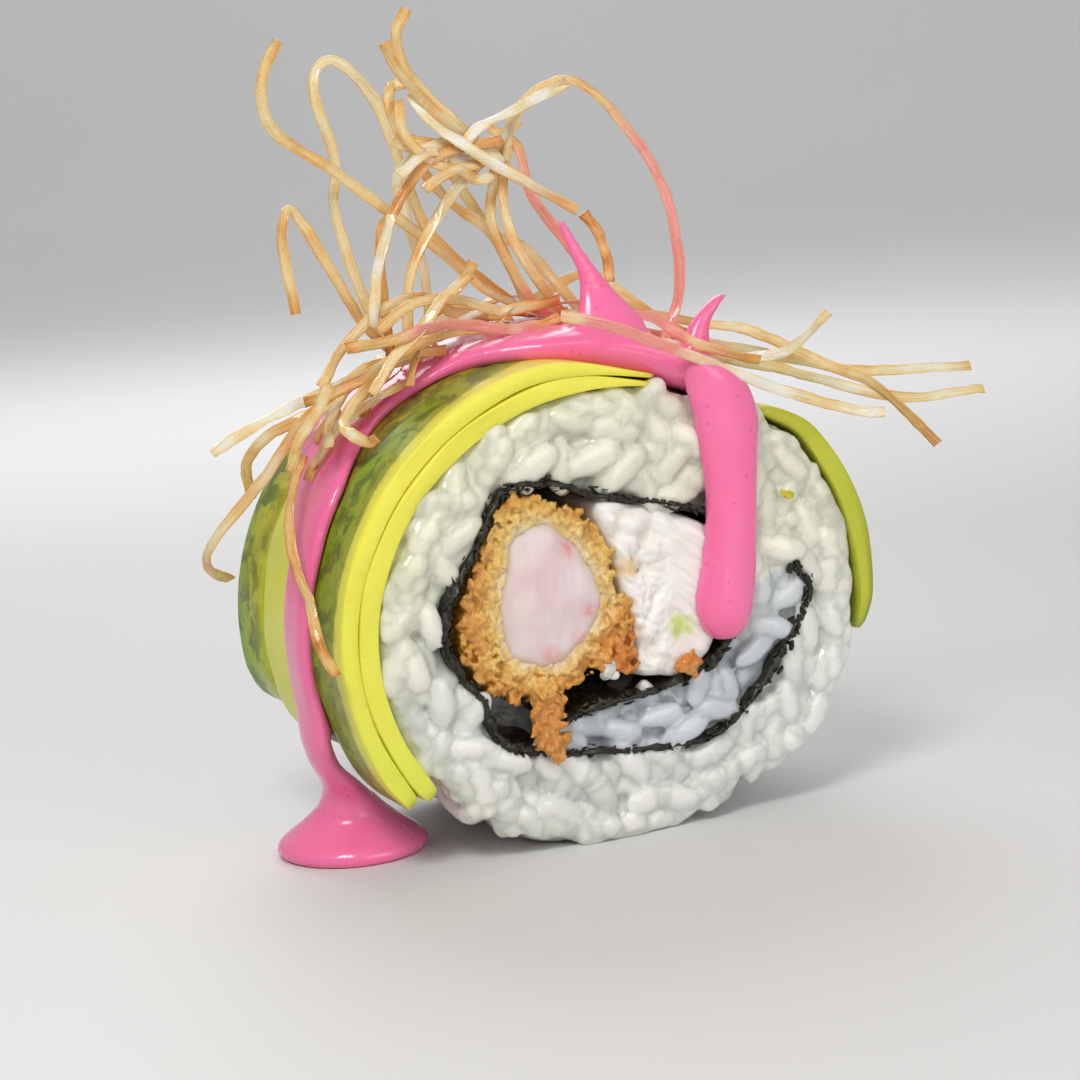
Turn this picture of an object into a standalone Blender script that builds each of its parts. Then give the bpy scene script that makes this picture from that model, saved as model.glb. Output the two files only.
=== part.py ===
"""Uramaki roll with breaded shrimp, cream cheese, avocado, pink sauce and crispy strands.

One cut piece stands on its curved side. Its axis runs along Y, and the cut face with the
drip looks towards -Y. The origin is on the floor, in the middle of the small flat below.
Lengths are in millimetres and become metres when a mesh is made.
"""
import math
import random

import bmesh
import bpy
from mathutils import Matrix, Vector

MM = 0.001

# The rice cylinder, slightly flattened by its own weight, before its grains stand out. On
# the right it bulges by some millimetres, over an angle either way and with a soft end
HALF_WIDTH = 24.4
HALF_HEIGHT = 21.9
AXIS_HEIGHT = 21.7
BULGE = 2.2
BULGE_ANGLE = 58
BULGE_END = 22
FACE = 14.0
GAP = 0.3

# Cooked sushi rice: half length, half width and half thickness of the largest grain
GRAIN = (3.3, 1.6, 1.4)
GRAIN_SPACING = 3.7
SIDE_GRAIN_SPACING = 5.0
GRAIN_SINK = 0.35
BARE_SIDE = (226, 338)
RIM_ROOM = 1.7
SHEET_ROOM = 1.3
FILLING_ROOM = 1.1

# The nori sheet, seen from the front, from its outer end on the right, once round the
# filling and back under it to its inner end (x, z)
NORI_THICKNESS = 0.6
NORI_ROUTE = [
    (19.8, 24.3), (21.1, 21.5), (18.8, 17.0), (15.0, 12.4), (8.7, 8.4), (0.0, 8.6),
    (-7.0, 9.7), (-12.8, 11.2), (-14.6, 16.0), (-17.9, 20.7), (-17.4, 25.6), (-14.6, 30.0),
    (-11.4, 35.2), (-7.0, 35.6), (-0.7, 33.8), (6.4, 31.9), (11.8, 29.2), (13.0, 22.5),
    (10.6, 16.4), (3.5, 14.0), (-3.2, 13.6), (-6.2, 12.2)]
NORI_LOOP_START = 6
NORI_STEPS = 3
NORI_RIPPLE = 0.18

# Outlines of the filling on the cut face (x, z)
SHRIMP_OUTLINE = [
    (-8.2, 32.2), (-5.0, 30.6), (-2.6, 27.0), (-1.6, 23.4), (-3.6, 20.1), (-7.6, 18.2),
    (-11.4, 19.8), (-12.2, 23.2), (-11.2, 28.6), (-10.2, 31.2)]
COAT_OUTLINE = [
    (-9.6, 34.6), (-5.7, 33.4), (-2.6, 31.6), (-0.3, 27.8), (-0.4, 24.2), (1.0, 23.6),
    (1.5, 19.6), (1.2, 16.4), (-2.6, 17.2), (-5.2, 16.0), (-8.8, 15.2), (-13.6, 16.6),
    (-16.4, 21.4), (-15.2, 26.6), (-13.4, 30.4), (-11.2, 33.6)]
CHEESE_OUTLINE = [
    (-0.6, 32.4), (3.2, 31.9), (6.4, 30.7), (10.6, 28.6), (11.7, 23.5), (10.2, 17.6),
    (7.1, 15.2), (4.6, 15.2), (2.1, 15.9), (2.5, 18.6), (2.0, 23.0), (1.2, 27.4)]
CRUMB_RADIUS = 1.3
CRUMB_SPACING = 2.5
CRUMB_DROP = [(-9.2, 16.4), (-8.6, 14.4), (-8.9, 12.6), (-8.2, 10.8)]
DROP_HALF_AXES = (1.4, 0.85, 1.3)
DROP_ROOM = 2.6
CURD_SPACING = 4.0
CURD_RADIUS = 1.7
SHRIMP_DOME = 0.6
SHRIMP_EDGE = 1.3
CUTTER_REACH = FACE + 6

# Avocado slices: first and last angle round the roll, front and back edge along Y, and
# the rise of the inner and outer surface over the rice
AVOCADO_SLICES = {
    "avocado_front_inner": (76, 219, -14.0, -6.6, 0.5, 2.1),
    "avocado_front_outer": (76, 217, -14.0, -6.0, 2.4, 4.1),
    "avocado_middle": (80, 204, -5.7, 7.1, 0.5, 4.1),
    "avocado_back": (80, 199, 7.4, 14.0, 0.5, 4.1),
    "avocado_right_front": (-13, 48, -14.0, -1.2, 0.5, 2.4),
    "avocado_right_back": (-20, 48, -0.9, 14.0, 0.5, 2.6)}
AVOCADO_TAPER = 22
AVOCADO_TIP = 0.35
TIP_ROUNDING = 1.4

# The rounding where the top of a slice or of the sauce turns down to its edge
ROUNDED_EDGE = 0.9

# The coat of sauce: angle round the roll, front edge and back edge along Y, underside and
# top as a rise over the rice. It lies on the rice on the right and on avocado on the left
SAUCE_COAT = [
    (50, -9.0, 2.0, 0.9, 1.7), (54, -12.6, 4.6, 0.5, 2.5), (60, -14.2, 6.6, 0.3, 2.9),
    (66, -14.2, 8.0, 0.3, 3.2), (71, -13.6, 8.6, 0.3, 4.4), (74, -12.9, 9.0, 4.4, 5.7),
    (86, -12.0, 9.4, 4.4, 5.9), (98, -9.6, 9.4, 4.4, 5.9), (110, -5.6, 9.0, 4.4, 5.8),
    (122, -3.5, 8.8, 4.4, 5.6), (134, -3.6, 8.6, 4.4, 5.5), (146, -6.2, 5.0, 4.4, 5.4),
    (157, -6.9, 0.6, 4.4, 5.4), (167, -7.2, -1.2, 4.4, 5.4), (178, -7.1, -1.2, 4.4, 5.4),
    (190, -6.8, -1.2, 4.4, 5.4), (199, -6.6, -1.4, 4.4, 5.8)]

# The drip down the cut face: left and right end of each level (x, z) and its thickness
DRIP_LEVELS = [
    ((8.8, 45.0), (15.8, 41.2), 2.6), ((8.5, 43.2), (16.2, 39.6), 2.2),
    ((9.2, 39.4), (16.0, 37.0), 2.3), ((9.9, 32.4), (15.5, 31.6), 2.2),
    ((9.2, 26.6), (15.1, 26.0), 2.3), ((8.2, 22.4), (14.5, 21.8), 2.5),
    ((8.5, 19.8), (13.7, 19.4), 2.3), ((9.8, 18.1), (12.4, 18.0), 1.3)]
DRIP_BACK_AT_TOP = -12.6

# The run leaves the avocado and flares into a puddle on the floor: middle (x, y, z) and
# half widths along X and Y of each level, then radius and height of the puddle's profile
NECK_LEVELS = [
    ((-28.4, -3.6, 15.6), 0.5, 2.2), ((-28.1, -3.6, 12.4), 0.9, 2.2),
    ((-27.0, -3.4, 9.8), 1.3, 2.3), ((-25.4, -2.6, 7.8), 1.7, 2.5),
    ((-24.2, -1.2, 6.0), 2.4, 2.8), ((-23.6, -0.3, 4.0), 3.6, 3.7)]
PUDDLE_AT = (-23.5, 0.0)
PUDDLE_PROFILE = [
    (0.0, 6.2), (2.2, 5.7), (3.2, 4.6), (4.5, 3.4), (5.8, 2.4), (7.0, 1.5), (7.5, 0.8),
    (7.1, 0.0), (0.0, 0.0)]

# The web of sauce that the strands pull up: middle (x, y, z) and half widths
PEAK_LEVELS = [
    ((3.6, -8.6, 48.1), 3.9, 1.9), ((3.4, -8.4, 50.2), 3.0, 1.5),
    ((2.6, -7.8, 52.6), 1.6, 1.0), ((1.8, -7.0, 55.4), 0.6, 0.5)]

# Crispy fried strands. Each has its width, its y at the start and at the end, and its
# route as seen from the front (x, z)
STRAND_THICKNESS = 0.6
STRAND_STEPS = 2
STRAND_ROUTES = {
    "left_hook": (1.5, -4, 4, [
        (-26, 78.5), (-27.5, 74.5), (-26, 70), (-19.5, 65.5), (-10, 58), (-3.5, 52.5),
        (3, 49.5)]),
    "hairpin": (1.3, 2, 5, [
        (-14, 48), (-16.5, 52), (-19, 61.5), (-18.5, 66.5), (-20, 74), (-17.5, 76),
        (-13.5, 72), (-11, 65), (-8, 58), (1, 50)]),
    "small_hook": (1.1, -3, 1, [
        (-26, 53), (-26.5, 60), (-25, 62.5), (-21.5, 57), (-18, 51), (-14.5, 47.5)]),
    "top_tip": (1.2, -2, 1, [(-12, 80.5), (-13, 78), (-11.5, 74), (-6, 68.5), (-3, 66)]),
    "top_side": (1.3, -4, 0, [(-15.5, 77.5), (-13.5, 74.5), (-9, 70), (-3.5, 65.5)]),
    "curl": (1.2, 0, 0, [(-12, 73.5), (-13.5, 73), (-13.5, 70.5), (-11.5, 68), (-3, 66.5)]),
    "arch": (1.1, 0, -3, [
        (-2.5, 64.5), (-0.5, 70), (4, 72.5), (7.5, 71), (12, 65.5), (14.5, 59.5),
        (15, 51.5), (12.5, 46)]),
    "pale_spear": (2.0, -1, -4, [(-12, 72.5), (-9.5, 69), (-3.5, 64.5), (3.5, 60)]),
    "pink_spear": (1.6, 1, -2, [(-3, 68.5), (-0.5, 66.5), (0.5, 61.5), (4, 56), (7, 49)]),
    "trunk": (1.9, 0, -1, [(-2.5, 67), (-3.5, 63), (-4, 59), (-0.5, 51.5), (3.5, 48.5)]),
    "trunk_twin": (1.3, -1, -2, [(-2, 66.5), (-3, 63), (-2.5, 58), (0.5, 52.5), (3, 49)]),
    "leaf": (2.4, 2, 3, [(-7.5, 65.5), (-3, 58.5), (0.5, 56.5), (4, 52.5), (7, 49)]),
    "cross": (1.3, -1, -2, [(-3, 67), (-8.5, 62.5), (-13.5, 55.5), (-14.5, 48)]),
    "back_drop": (1.0, 1, 4, [(-5, 68), (-12, 65.5), (-12, 61.5), (-10, 55), (-9.5, 48)]),
    "thin_dark": (0.8, -2, 0, [
        (-3, 67.5), (-10.5, 66), (-14.5, 61.5), (-16, 58.5), (-15.5, 47)]),
    "tie": (1.0, 1, 1, [(-10.5, 65), (-8, 62), (-3, 57.5), (0, 50)]),
    "left_wide": (1.8, 0, -4, [
        (-5, 50), (-9.5, 51.5), (-12, 53), (-17, 52.5), (-22, 49), (-24.5, 46)]),
    "orange_band": (2.4, -3, -6, [(-4, 49.5), (-11.5, 49.5), (-17, 48), (-22, 46), (-27, 45)]),
    "brown_band": (2.0, 3, 1, [(5, 49.5), (-2.5, 50.5), (-9, 51.5), (-14, 48)]),
    "left_spear": (2.4, -6, -2, [
        (-36.5, 41.5), (-32.5, 43), (-26, 45), (-19.5, 46.5), (-11.5, 48)]),
    "left_trail": (1.3, 12, 0, [
        (-29.5, 26), (-32.5, 28), (-32.5, 31), (-28, 36.5), (-23, 43), (-15, 47.5)]),
    "elbow": (1.4, -9, -3, [
        (-20, 40), (-23, 41.5), (-23.5, 43), (-20, 46), (-16, 48), (-11, 48)]),
    "short_drop": (1.0, -6, -2, [(-25, 40.5), (-24, 43), (-20, 47), (-13, 47.5)]),
    "up_spike": (1.2, -3, 0, [(-7.5, 56), (-8.5, 54), (-11, 51.5), (-12.5, 48)]),
    "right_long": (1.5, 2, -6, [
        (6, 49), (13, 48.5), (19, 47), (23, 46), (31.5, 41.5), (36, 39), (42, 32.5)]),
    "right_upper": (1.8, 0, -2, [(8, 48), (19.5, 45), (30, 42), (36, 40.5), (49, 39.5)]),
    "right_lower": (1.8, -2, -5, [
        (10, 46.5), (20, 43.5), (25.5, 42), (32.5, 39.5), (39.5, 37.5), (48.5, 37.5)]),
    "right_kick": (1.3, -4, -10, [(9, 47), (18, 44.5), (22, 44), (24.5, 45), (27.5, 48)]),
    "right_sheet": (3.0, -8, -12, [
        (-1, 50.3), (4, 48.7), (10, 46), (16, 43), (22, 40.4), (28.5, 38), (31.5, 37.6)]),
    "back_strip": (1.6, 6, 3, [(1, 50), (8, 53), (11.5, 51), (14.5, 48.5), (20, 45)]),
    "side_strand": (2.2, -1, -16, [
        (-25.5, 39.4), (-28, 36.6), (-29.7, 30), (-29, 26.5), (-27, 22.4), (-26, 21.2)]),
    "curled_leaf": (1.6, 11, 3, [(-27, 34), (-28, 38), (-26, 41), (-20, 43.5)])}
MAT_EDGES = (-4.2, 6.2)
MAT_THICKNESS = 1.4
MAT_ANGLES = (62, 142)
STRAND_CLEARANCE = 0.4

COLOURS = {
    "rice": ((0.80, 0.80, 0.76), 0.30),
    "nori": ((0.015, 0.03, 0.02), 0.35),
    "shrimp": ((0.86, 0.66, 0.63), 0.35),
    "crumb_coat": ((0.62, 0.27, 0.06), 0.55),
    "cream_cheese": ((0.88, 0.86, 0.80), 0.50),
    "avocado": ((0.55, 0.62, 0.08), 0.35),
    "sauce": ((0.83, 0.15, 0.34), 0.30),
    "crispy_strands": ((0.72, 0.44, 0.16), 0.40)}


def on_roll(angle, rise, y):
    """Point at an angle round the roll, above its rice by a rise."""
    turn = math.radians(angle)
    x = (HALF_WIDTH + rise) * math.cos(turn)
    return Vector((x, y, AXIS_HEIGHT + (HALF_HEIGHT + rise) * math.sin(turn)))


def bulge(angle):
    """How far the rice bulges out of its oval at an angle."""
    turn = abs((angle + 180) % 360 - 180)
    share = min(1, max(0, (BULGE_ANGLE - turn) / BULGE_END))
    return BULGE * share * share * (3 - 2 * share)


def on_rice(angle, rise, y):
    """Point at an angle round the roll, above its bulging rice by a rise."""
    return on_roll(angle, rise + bulge(angle), y)


def smooth_line(points, steps, closed=False):
    """Catmull-Rom line through the points, with a number of steps between each two."""
    points = [Vector(point) for point in points]
    count = len(points)
    line = []
    for i in range(count if closed else count - 1):
        if closed:
            before, start, end, after = (points[(i + k) % count] for k in (-1, 0, 1, 2))
        else:
            start, end = points[i], points[i + 1]
            before = points[i - 1] if i else 2 * start - end
            after = points[i + 2] if i + 2 < count else 2 * end - start
        for step in range(steps):
            t = step / steps
            line.append(0.5 * (2 * start + (end - before) * t
                               + (2 * before - 5 * start + 4 * end - after) * t ** 2
                               + (3 * start - before - 3 * end + after) * t ** 3))
    if not closed:
        line.append(points[-1])
    return line


def grown(outline, distance):
    """Closed outline moved outwards by a distance."""
    count = len(outline)
    area = sum(outline[i - 1].x * outline[i].y - outline[i].x * outline[i - 1].y
               for i in range(count))
    side = 1 if area > 0 else -1
    moved = []
    for i in range(count):
        along = (outline[(i + 1) % count] - outline[i - 1]).normalized()
        moved.append(outline[i] + side * distance * Vector((along.y, -along.x)))
    return moved


def inside(outline, x, z):
    """True for a point inside a closed outline."""
    hit = False
    for i, end in enumerate(outline):
        start = outline[i - 1]
        if (start.y > z) != (end.y > z):
            if x < start.x + (z - start.y) / (end.y - start.y) * (end.x - start.x):
                hit = not hit
    return hit


def add_object(name, mesh):
    """Object for a mesh, in the scene's own collection until it is filed."""
    item = bpy.data.objects.new(name, mesh)
    bpy.context.scene.collection.objects.link(item)
    return item


def baked(item):
    """Replace an object's modifiers, or a curve, by the plain mesh they make."""
    graph = bpy.context.evaluated_depsgraph_get()
    mesh = bpy.data.meshes.new_from_object(item.evaluated_get(graph))
    if item.type == "CURVE":
        name = item.name
        place = item.matrix_world.copy()
        bpy.data.objects.remove(item)
        item = add_object(name, mesh)
        item.matrix_world = place
    else:
        item.modifiers.clear()
        item.data = mesh
    shape = bmesh.new()
    shape.from_mesh(item.data)
    bmesh.ops.remove_doubles(shape, verts=shape.verts, dist=0.001 * MM)
    shape.to_mesh(item.data)
    shape.free()
    return item


def slab(name, outline, half_length):
    """Closed solid with an outline in XZ, from -half_length to half_length along Y."""
    curve = bpy.data.curves.new(name, "CURVE")
    curve.dimensions = "2D"
    curve.fill_mode = "BOTH"
    curve.extrude = half_length * MM
    spline = curve.splines.new("POLY")
    spline.points.add(len(outline) - 1)
    for point, place in zip(spline.points, outline):
        point.co = (place.x * MM, place.y * MM, 0, 1)
    spline.use_cyclic_u = True
    item = add_object(name, curve)
    item.rotation_euler.x = math.pi / 2
    bpy.context.view_layer.update()
    item = baked(item)
    item.data.transform(item.matrix_world)
    item.matrix_world = Matrix.Identity(4)
    return item


def loft(name, rings):
    """Closed solid through rings with equal numbers of points."""
    shape = bmesh.new()
    loops = [[shape.verts.new(point * MM) for point in ring] for ring in rings]
    count = len(loops[0])
    for lower, upper in zip(loops, loops[1:]):
        for i in range(count):
            j = (i + 1) % count
            shape.faces.new((lower[i], lower[j], upper[j], upper[i]))
    shape.faces.new(loops[0][::-1])
    shape.faces.new(loops[-1])
    bmesh.ops.recalc_face_normals(shape, faces=shape.faces)
    mesh = bpy.data.meshes.new(name)
    shape.to_mesh(mesh)
    shape.free()
    return add_object(name, mesh)


def round_ring(middle, half_x, half_y, count=10):
    """Level ring, oval when the half widths differ."""
    ring = []
    for i in range(count):
        turn = math.tau * i / count
        ring.append(Vector(middle) + Vector((half_x * math.cos(turn), half_y * math.sin(turn), 0)))
    return ring


def ellipsoid(name, half_axes, place):
    """Low-sided round lump: half axes in its own frame, then its place as a matrix."""
    shape = bmesh.new()
    bmesh.ops.create_uvsphere(shape, u_segments=5, v_segments=4, radius=1.0)
    bmesh.ops.scale(shape, verts=shape.verts, vec=half_axes)
    bmesh.ops.rotate(shape, verts=shape.verts, matrix=Matrix.Rotation(math.pi / 2, 3, "Y"))
    bmesh.ops.transform(shape, verts=shape.verts, matrix=place)
    bmesh.ops.scale(shape, verts=shape.verts, vec=(MM, MM, MM))
    mesh = bpy.data.meshes.new(name)
    shape.to_mesh(mesh)
    shape.free()
    return add_object(name, mesh)


def joined(base, pieces, operation="UNION", solver="EXACT"):
    """Join pieces to a base, or cut them from it, by one Boolean on their collection."""
    group = bpy.data.collections.new(base.name + "_pieces")
    for piece in pieces:
        group.objects.link(piece)
    change = base.modifiers.new("Boolean", "BOOLEAN")
    change.operation = operation
    change.solver = solver
    change.operand_type = "COLLECTION"
    change.collection = group
    bpy.context.view_layer.update()
    base = baked(base)
    for piece in pieces:
        bpy.data.objects.remove(piece)
    bpy.data.collections.remove(group)
    return base


def largest_body(item):
    """Drop scraps that came loose, and mend what a Boolean leaves behind."""
    shape = bmesh.new()
    shape.from_mesh(item.data)
    bmesh.ops.dissolve_degenerate(shape, edges=shape.edges, dist=0.002 * MM)
    left = set(shape.faces)
    bodies = []
    while left:
        body = [left.pop()]
        for face in body:
            for edge in face.edges:
                for other in edge.link_faces:
                    if other in left:
                        left.remove(other)
                        body.append(other)
        bodies.append(body)
    bodies.sort(key=lambda body: sum(face.calc_area() for face in body))
    for body in bodies[:-1]:
        bmesh.ops.delete(shape, geom=body, context="FACES")
    bmesh.ops.triangulate(shape, faces=shape.faces)
    loose = [vert for vert in shape.verts if not vert.link_faces]
    bmesh.ops.delete(shape, geom=loose, context="VERTS")
    shape.to_mesh(item.data)
    shape.free()
    return item


def nori_sheet(name, margin, half_length):
    """The rolled seaweed sheet, gently rippled along the roll, or a space round it."""
    line = smooth_line(NORI_ROUTE, NORI_STEPS)
    line[0] += (line[0] - line[1]).normalized() * margin
    line[-1] += (line[-1] - line[-2]).normalized() * margin
    rows = [-half_length, 0.0, half_length]
    shape = bmesh.new()
    grid = []
    for y in rows:
        row = []
        for i, point in enumerate(line):
            along = (line[min(i + 1, len(line) - 1)] - line[max(i - 1, 0)]).normalized()
            ripple = NORI_RIPPLE * math.sin(0.9 * i + 0.35 * max(-FACE, min(FACE, y)))
            x = point.x + ripple * along.y
            z = point.y - ripple * along.x
            row.append(shape.verts.new((x * MM, y * MM, z * MM)))
        grid.append(row)
    for near, far in zip(grid, grid[1:]):
        for i in range(len(line) - 1):
            shape.faces.new((near[i], near[i + 1], far[i + 1], far[i]))
    mesh = bpy.data.meshes.new(name)
    shape.to_mesh(mesh)
    shape.free()
    item = add_object(name, mesh)
    solid = item.modifiers.new("Solidify", "SOLIDIFY")
    solid.thickness = (NORI_THICKNESS + 2 * margin) * MM
    solid.offset = 0
    return baked(item)


def filling_outline():
    """Outline of the space inside the nori."""
    line = smooth_line(NORI_ROUTE, NORI_STEPS)
    return line[NORI_LOOP_START * NORI_STEPS:]


def spread(rng, draw, spacing, tries):
    """Evenly spread random places, none nearer to another than the spacing."""
    places = []
    for _ in range(tries):
        place = draw(rng)
        if place and all((place - other).length > spacing for other in places):
            places.append(place)
    return places


def under_drip(x, z, margin):
    """True where the drip hangs in front of the cut face."""
    left = min(level[0][0] for level in DRIP_LEVELS) - margin
    right = max(level[1][0] for level in DRIP_LEVELS) + margin
    return left < x < right and z > DRIP_LEVELS[-1][0][1] - margin


def under_crumbs(x, z):
    """True where the spilled crumb hangs in front of the cut face."""
    xs = [place[0] for place in CRUMB_DROP]
    zs = [place[1] for place in CRUMB_DROP]
    beside = min(xs) - DROP_ROOM < x < max(xs) + DROP_ROOM
    return beside and min(zs) - DROP_ROOM < z < max(zs)


def face_grain_place(side):
    """Rule for a random grain centre on one cut face, in the rice and off the toppings."""
    hole = grown(filling_outline(), FILLING_ROOM)
    line = smooth_line(NORI_ROUTE, NORI_STEPS)

    def draw(rng):
        x = rng.uniform(-HALF_WIDTH, HALF_WIDTH + BULGE)
        z = AXIS_HEIGHT + rng.uniform(-HALF_HEIGHT, HALF_HEIGHT)
        room = bulge(math.degrees(math.atan2(z - AXIS_HEIGHT, x))) - RIM_ROOM
        reach = math.hypot(x / (HALF_WIDTH + room), (z - AXIS_HEIGHT) / (HALF_HEIGHT + room))
        covered = side < 0 and (under_drip(x, z, GRAIN[1]) or under_crumbs(x, z))
        if reach > 1 or covered or inside(hole, x, z):
            return None
        if min((point - Vector((x, z))).length for point in line) < SHEET_ROOM:
            return None
        return Vector((x, side * (FACE - GRAIN_SINK), z))
    return draw


def side_grain_place(rng):
    """Random grain centre on the bare curved side."""
    y = rng.uniform(RIM_ROOM - FACE, FACE - RIM_ROOM)
    return on_rice(rng.uniform(*BARE_SIDE), -GRAIN_SINK, y)


def grain(rng, place, outward, near_rim):
    """One grain lying on the rice: along the rim near it, else any way round."""
    size = rng.uniform(0.8, 1.0)
    across = Vector((0, 1, 0)).cross(outward)
    if across.length < 0.5:
        middle = Vector((0, 0, AXIS_HEIGHT))
        across = (place - middle).cross(outward).normalized()
    spin = rng.gauss(0, 0.3) if near_rim else rng.uniform(0, math.pi)
    along = Matrix.Rotation(spin, 3, outward) @ across
    along = (along + outward * rng.uniform(-0.18, 0.18)).normalized()
    side = outward.cross(along).normalized()
    up = along.cross(side)
    turn = Matrix((along, side, up)).transposed().to_4x4()
    half_axes = (GRAIN[2] * size, GRAIN[1] * size, GRAIN[0] * size * rng.uniform(0.8, 1.0))
    return ellipsoid("grain", half_axes, Matrix.Translation(place) @ turn)


def rice():
    """Rice cylinder with grains standing out of the cut faces and the bare side."""
    rng = random.Random(11)
    outline = []
    for i in range(72):
        rim = on_rice(5 * i, 0, 0)
        outline.append(Vector((rim.x, rim.z)))
    core = slab("rice", outline, FACE)
    grains = []
    for side in (-1, 1):
        for place in spread(rng, face_grain_place(side), GRAIN_SPACING, 1500):
            reach = math.hypot(place.x / HALF_WIDTH, (place.z - AXIS_HEIGHT) / HALF_HEIGHT)
            grains.append(grain(rng, place, Vector((0, side, 0)), reach > 0.8))
    for place in spread(rng, side_grain_place, SIDE_GRAIN_SPACING, 700):
        outward = Vector((place.x, 0, place.z - AXIS_HEIGHT)).normalized()
        grains.append(grain(rng, place, outward, False))
    core = joined(core, grains)
    bpy.ops.mesh.primitive_cube_add(size=1, location=(0, 0, -5 * MM))
    floor = bpy.context.object
    floor.scale = (0.1, 0.1, 0.01)
    hollow = slab("filling_space", filling_outline(), CUTTER_REACH)
    sheet = nori_sheet("nori_space", GAP, CUTTER_REACH)
    return largest_body(joined(core, [floor, hollow, sheet], "DIFFERENCE"))


def lumps(rng, outline, hole, spacing, radius, tries):
    """Lumps on both ends of a filling, inside an outline and outside a hole."""
    xs = [point.x for point in outline]
    zs = [point.y for point in outline]

    def draw_on(side):
        def draw(rng):
            x = rng.uniform(min(xs), max(xs))
            z = rng.uniform(min(zs), max(zs))
            if not inside(outline, x, z) or (hole and inside(hole, x, z)):
                return None
            if side < 0 and under_drip(x, z, radius):
                return None
            return Vector((x, side * (FACE - 0.2), z))
        return draw

    made = []
    for side in (-1, 1):
        for place in spread(rng, draw_on(side), spacing, tries):
            size = radius * rng.uniform(0.75, 1.15)
            turn = Matrix.Rotation(rng.uniform(0, math.pi), 4, "Y")
            half_axes = (size * rng.uniform(0.8, 1.2), size * 0.8, size)
            made.append(ellipsoid("lump", half_axes, Matrix.Translation(place) @ turn))
    return made


def shrimp():
    """Peeled shrimp, cut across, its ends a little domed."""
    item = slab("shrimp", smooth_line(SHRIMP_OUTLINE, 2, closed=True), FACE + SHRIMP_DOME)
    edge = item.modifiers.new("Bevel", "BEVEL")
    edge.width = SHRIMP_EDGE * MM
    edge.segments = 2
    edge.limit_method = "ANGLE"
    edge.angle_limit = math.radians(60)
    return baked(item)


def crumb_coat():
    """Fried crumbs round the shrimp, with a strip to the cheese and a spilled crumb."""
    rng = random.Random(5)
    outline = smooth_line(COAT_OUTLINE, 2, closed=True)
    flesh = grown(smooth_line(SHRIMP_OUTLINE, 2, closed=True), GAP)
    pieces = lumps(rng, grown(outline, -0.7), grown(flesh, 0.4), CRUMB_SPACING,
                   CRUMB_RADIUS, 500)
    for x, z in CRUMB_DROP:
        place = Matrix.Translation((x, -FACE - GAP - DROP_HALF_AXES[1] - 0.1, z))
        pieces.append(ellipsoid("drop", DROP_HALF_AXES, place))
    base = joined(slab("crumb_coat", outline, FACE), pieces)
    cutters = [slab("shrimp_space", flesh, CUTTER_REACH)]
    cutters.append(nori_sheet("nori_space", GAP, FACE + 0.2))
    return largest_body(joined(base, cutters, "DIFFERENCE"))


def cream_cheese():
    """Block of cream cheese with a rough, smeared cut."""
    rng = random.Random(8)
    outline = smooth_line(CHEESE_OUTLINE, 2, closed=True)
    pieces = lumps(rng, grown(outline, -CURD_RADIUS), None, CURD_SPACING, CURD_RADIUS, 300)
    base = joined(slab("cream_cheese", outline, FACE), pieces)
    coat = grown(smooth_line(COAT_OUTLINE, 2, closed=True), CRUMB_RADIUS * 0.55)
    cutters = [slab("coat_space", coat, CUTTER_REACH)]
    cutters.append(nori_sheet("nori_space", GAP, CUTTER_REACH))
    return largest_body(joined(base, cutters, "DIFFERENCE"))


def avocado_slice(name, first, last, front, back, inner, outer):
    """Thin slice laid round the roll, thinner and rounded at both ends."""
    count = max(8, round((last - first) / 7))
    rings = []
    for i in range(count + 1):
        angle = first + (last - first) * i / count
        end = min(angle - first, last - angle) / AVOCADO_TAPER
        full = AVOCADO_TIP + (1 - AVOCADO_TIP) * math.sqrt(min(1, end))
        middle = inner + (outer - inner) * 0.45
        low = middle + (inner - middle) * full
        high = middle + (outer - middle) * full
        soft = 0.25 * (outer - inner)
        pull = TIP_ROUNDING * (1 - math.sqrt(min(1, 3 * end)))
        section = [
            (front + pull, low), (back - pull, low), (back - pull, high - soft),
            (back - pull - ROUNDED_EDGE, high), (front + pull + ROUNDED_EDGE, high),
            (front + pull, high - soft)]
        rings.append([on_rice(angle, rise, y) for y, rise in section])
    return loft(name, rings)


def sauce_coat(name):
    """Sauce over the top and down the left side as one bending layer."""
    rings = []
    for angle, front, back, low, high in SAUCE_COAT:
        soft = 0.4 * (high - low)
        middle = 0.5 * (front + back)
        section = [
            (front, low), (middle, low), (back, low), (back, high - soft),
            (back - ROUNDED_EDGE, high), (middle, high), (front + ROUNDED_EDGE, high),
            (front, high - soft)]
        rings.append([on_rice(angle, rise, y) for y, rise in section])
    return loft(name, rings)


def drip():
    """Drip that folds over the rim and hangs down the cut face to a round tip."""
    rings = []
    for i, (left, right, thick) in enumerate(DRIP_LEVELS):
        back = DRIP_BACK_AT_TOP if i == 0 else -FACE - GAP
        front = -FACE - GAP - thick
        section = [
            (0.0, back), (0.0, front + 0.7 * thick), (0.16, front + 0.2 * thick),
            (0.5, front), (0.84, front + 0.2 * thick), (1.0, front + 0.7 * thick), (1.0, back)]
        ring = []
        for share, y in section:
            x = left[0] + (right[0] - left[0]) * share
            z = left[1] + (right[1] - left[1]) * share
            ring.append(Vector((x, y, z)))
        rings.append(ring)
    return loft("drip", rings)


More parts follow.
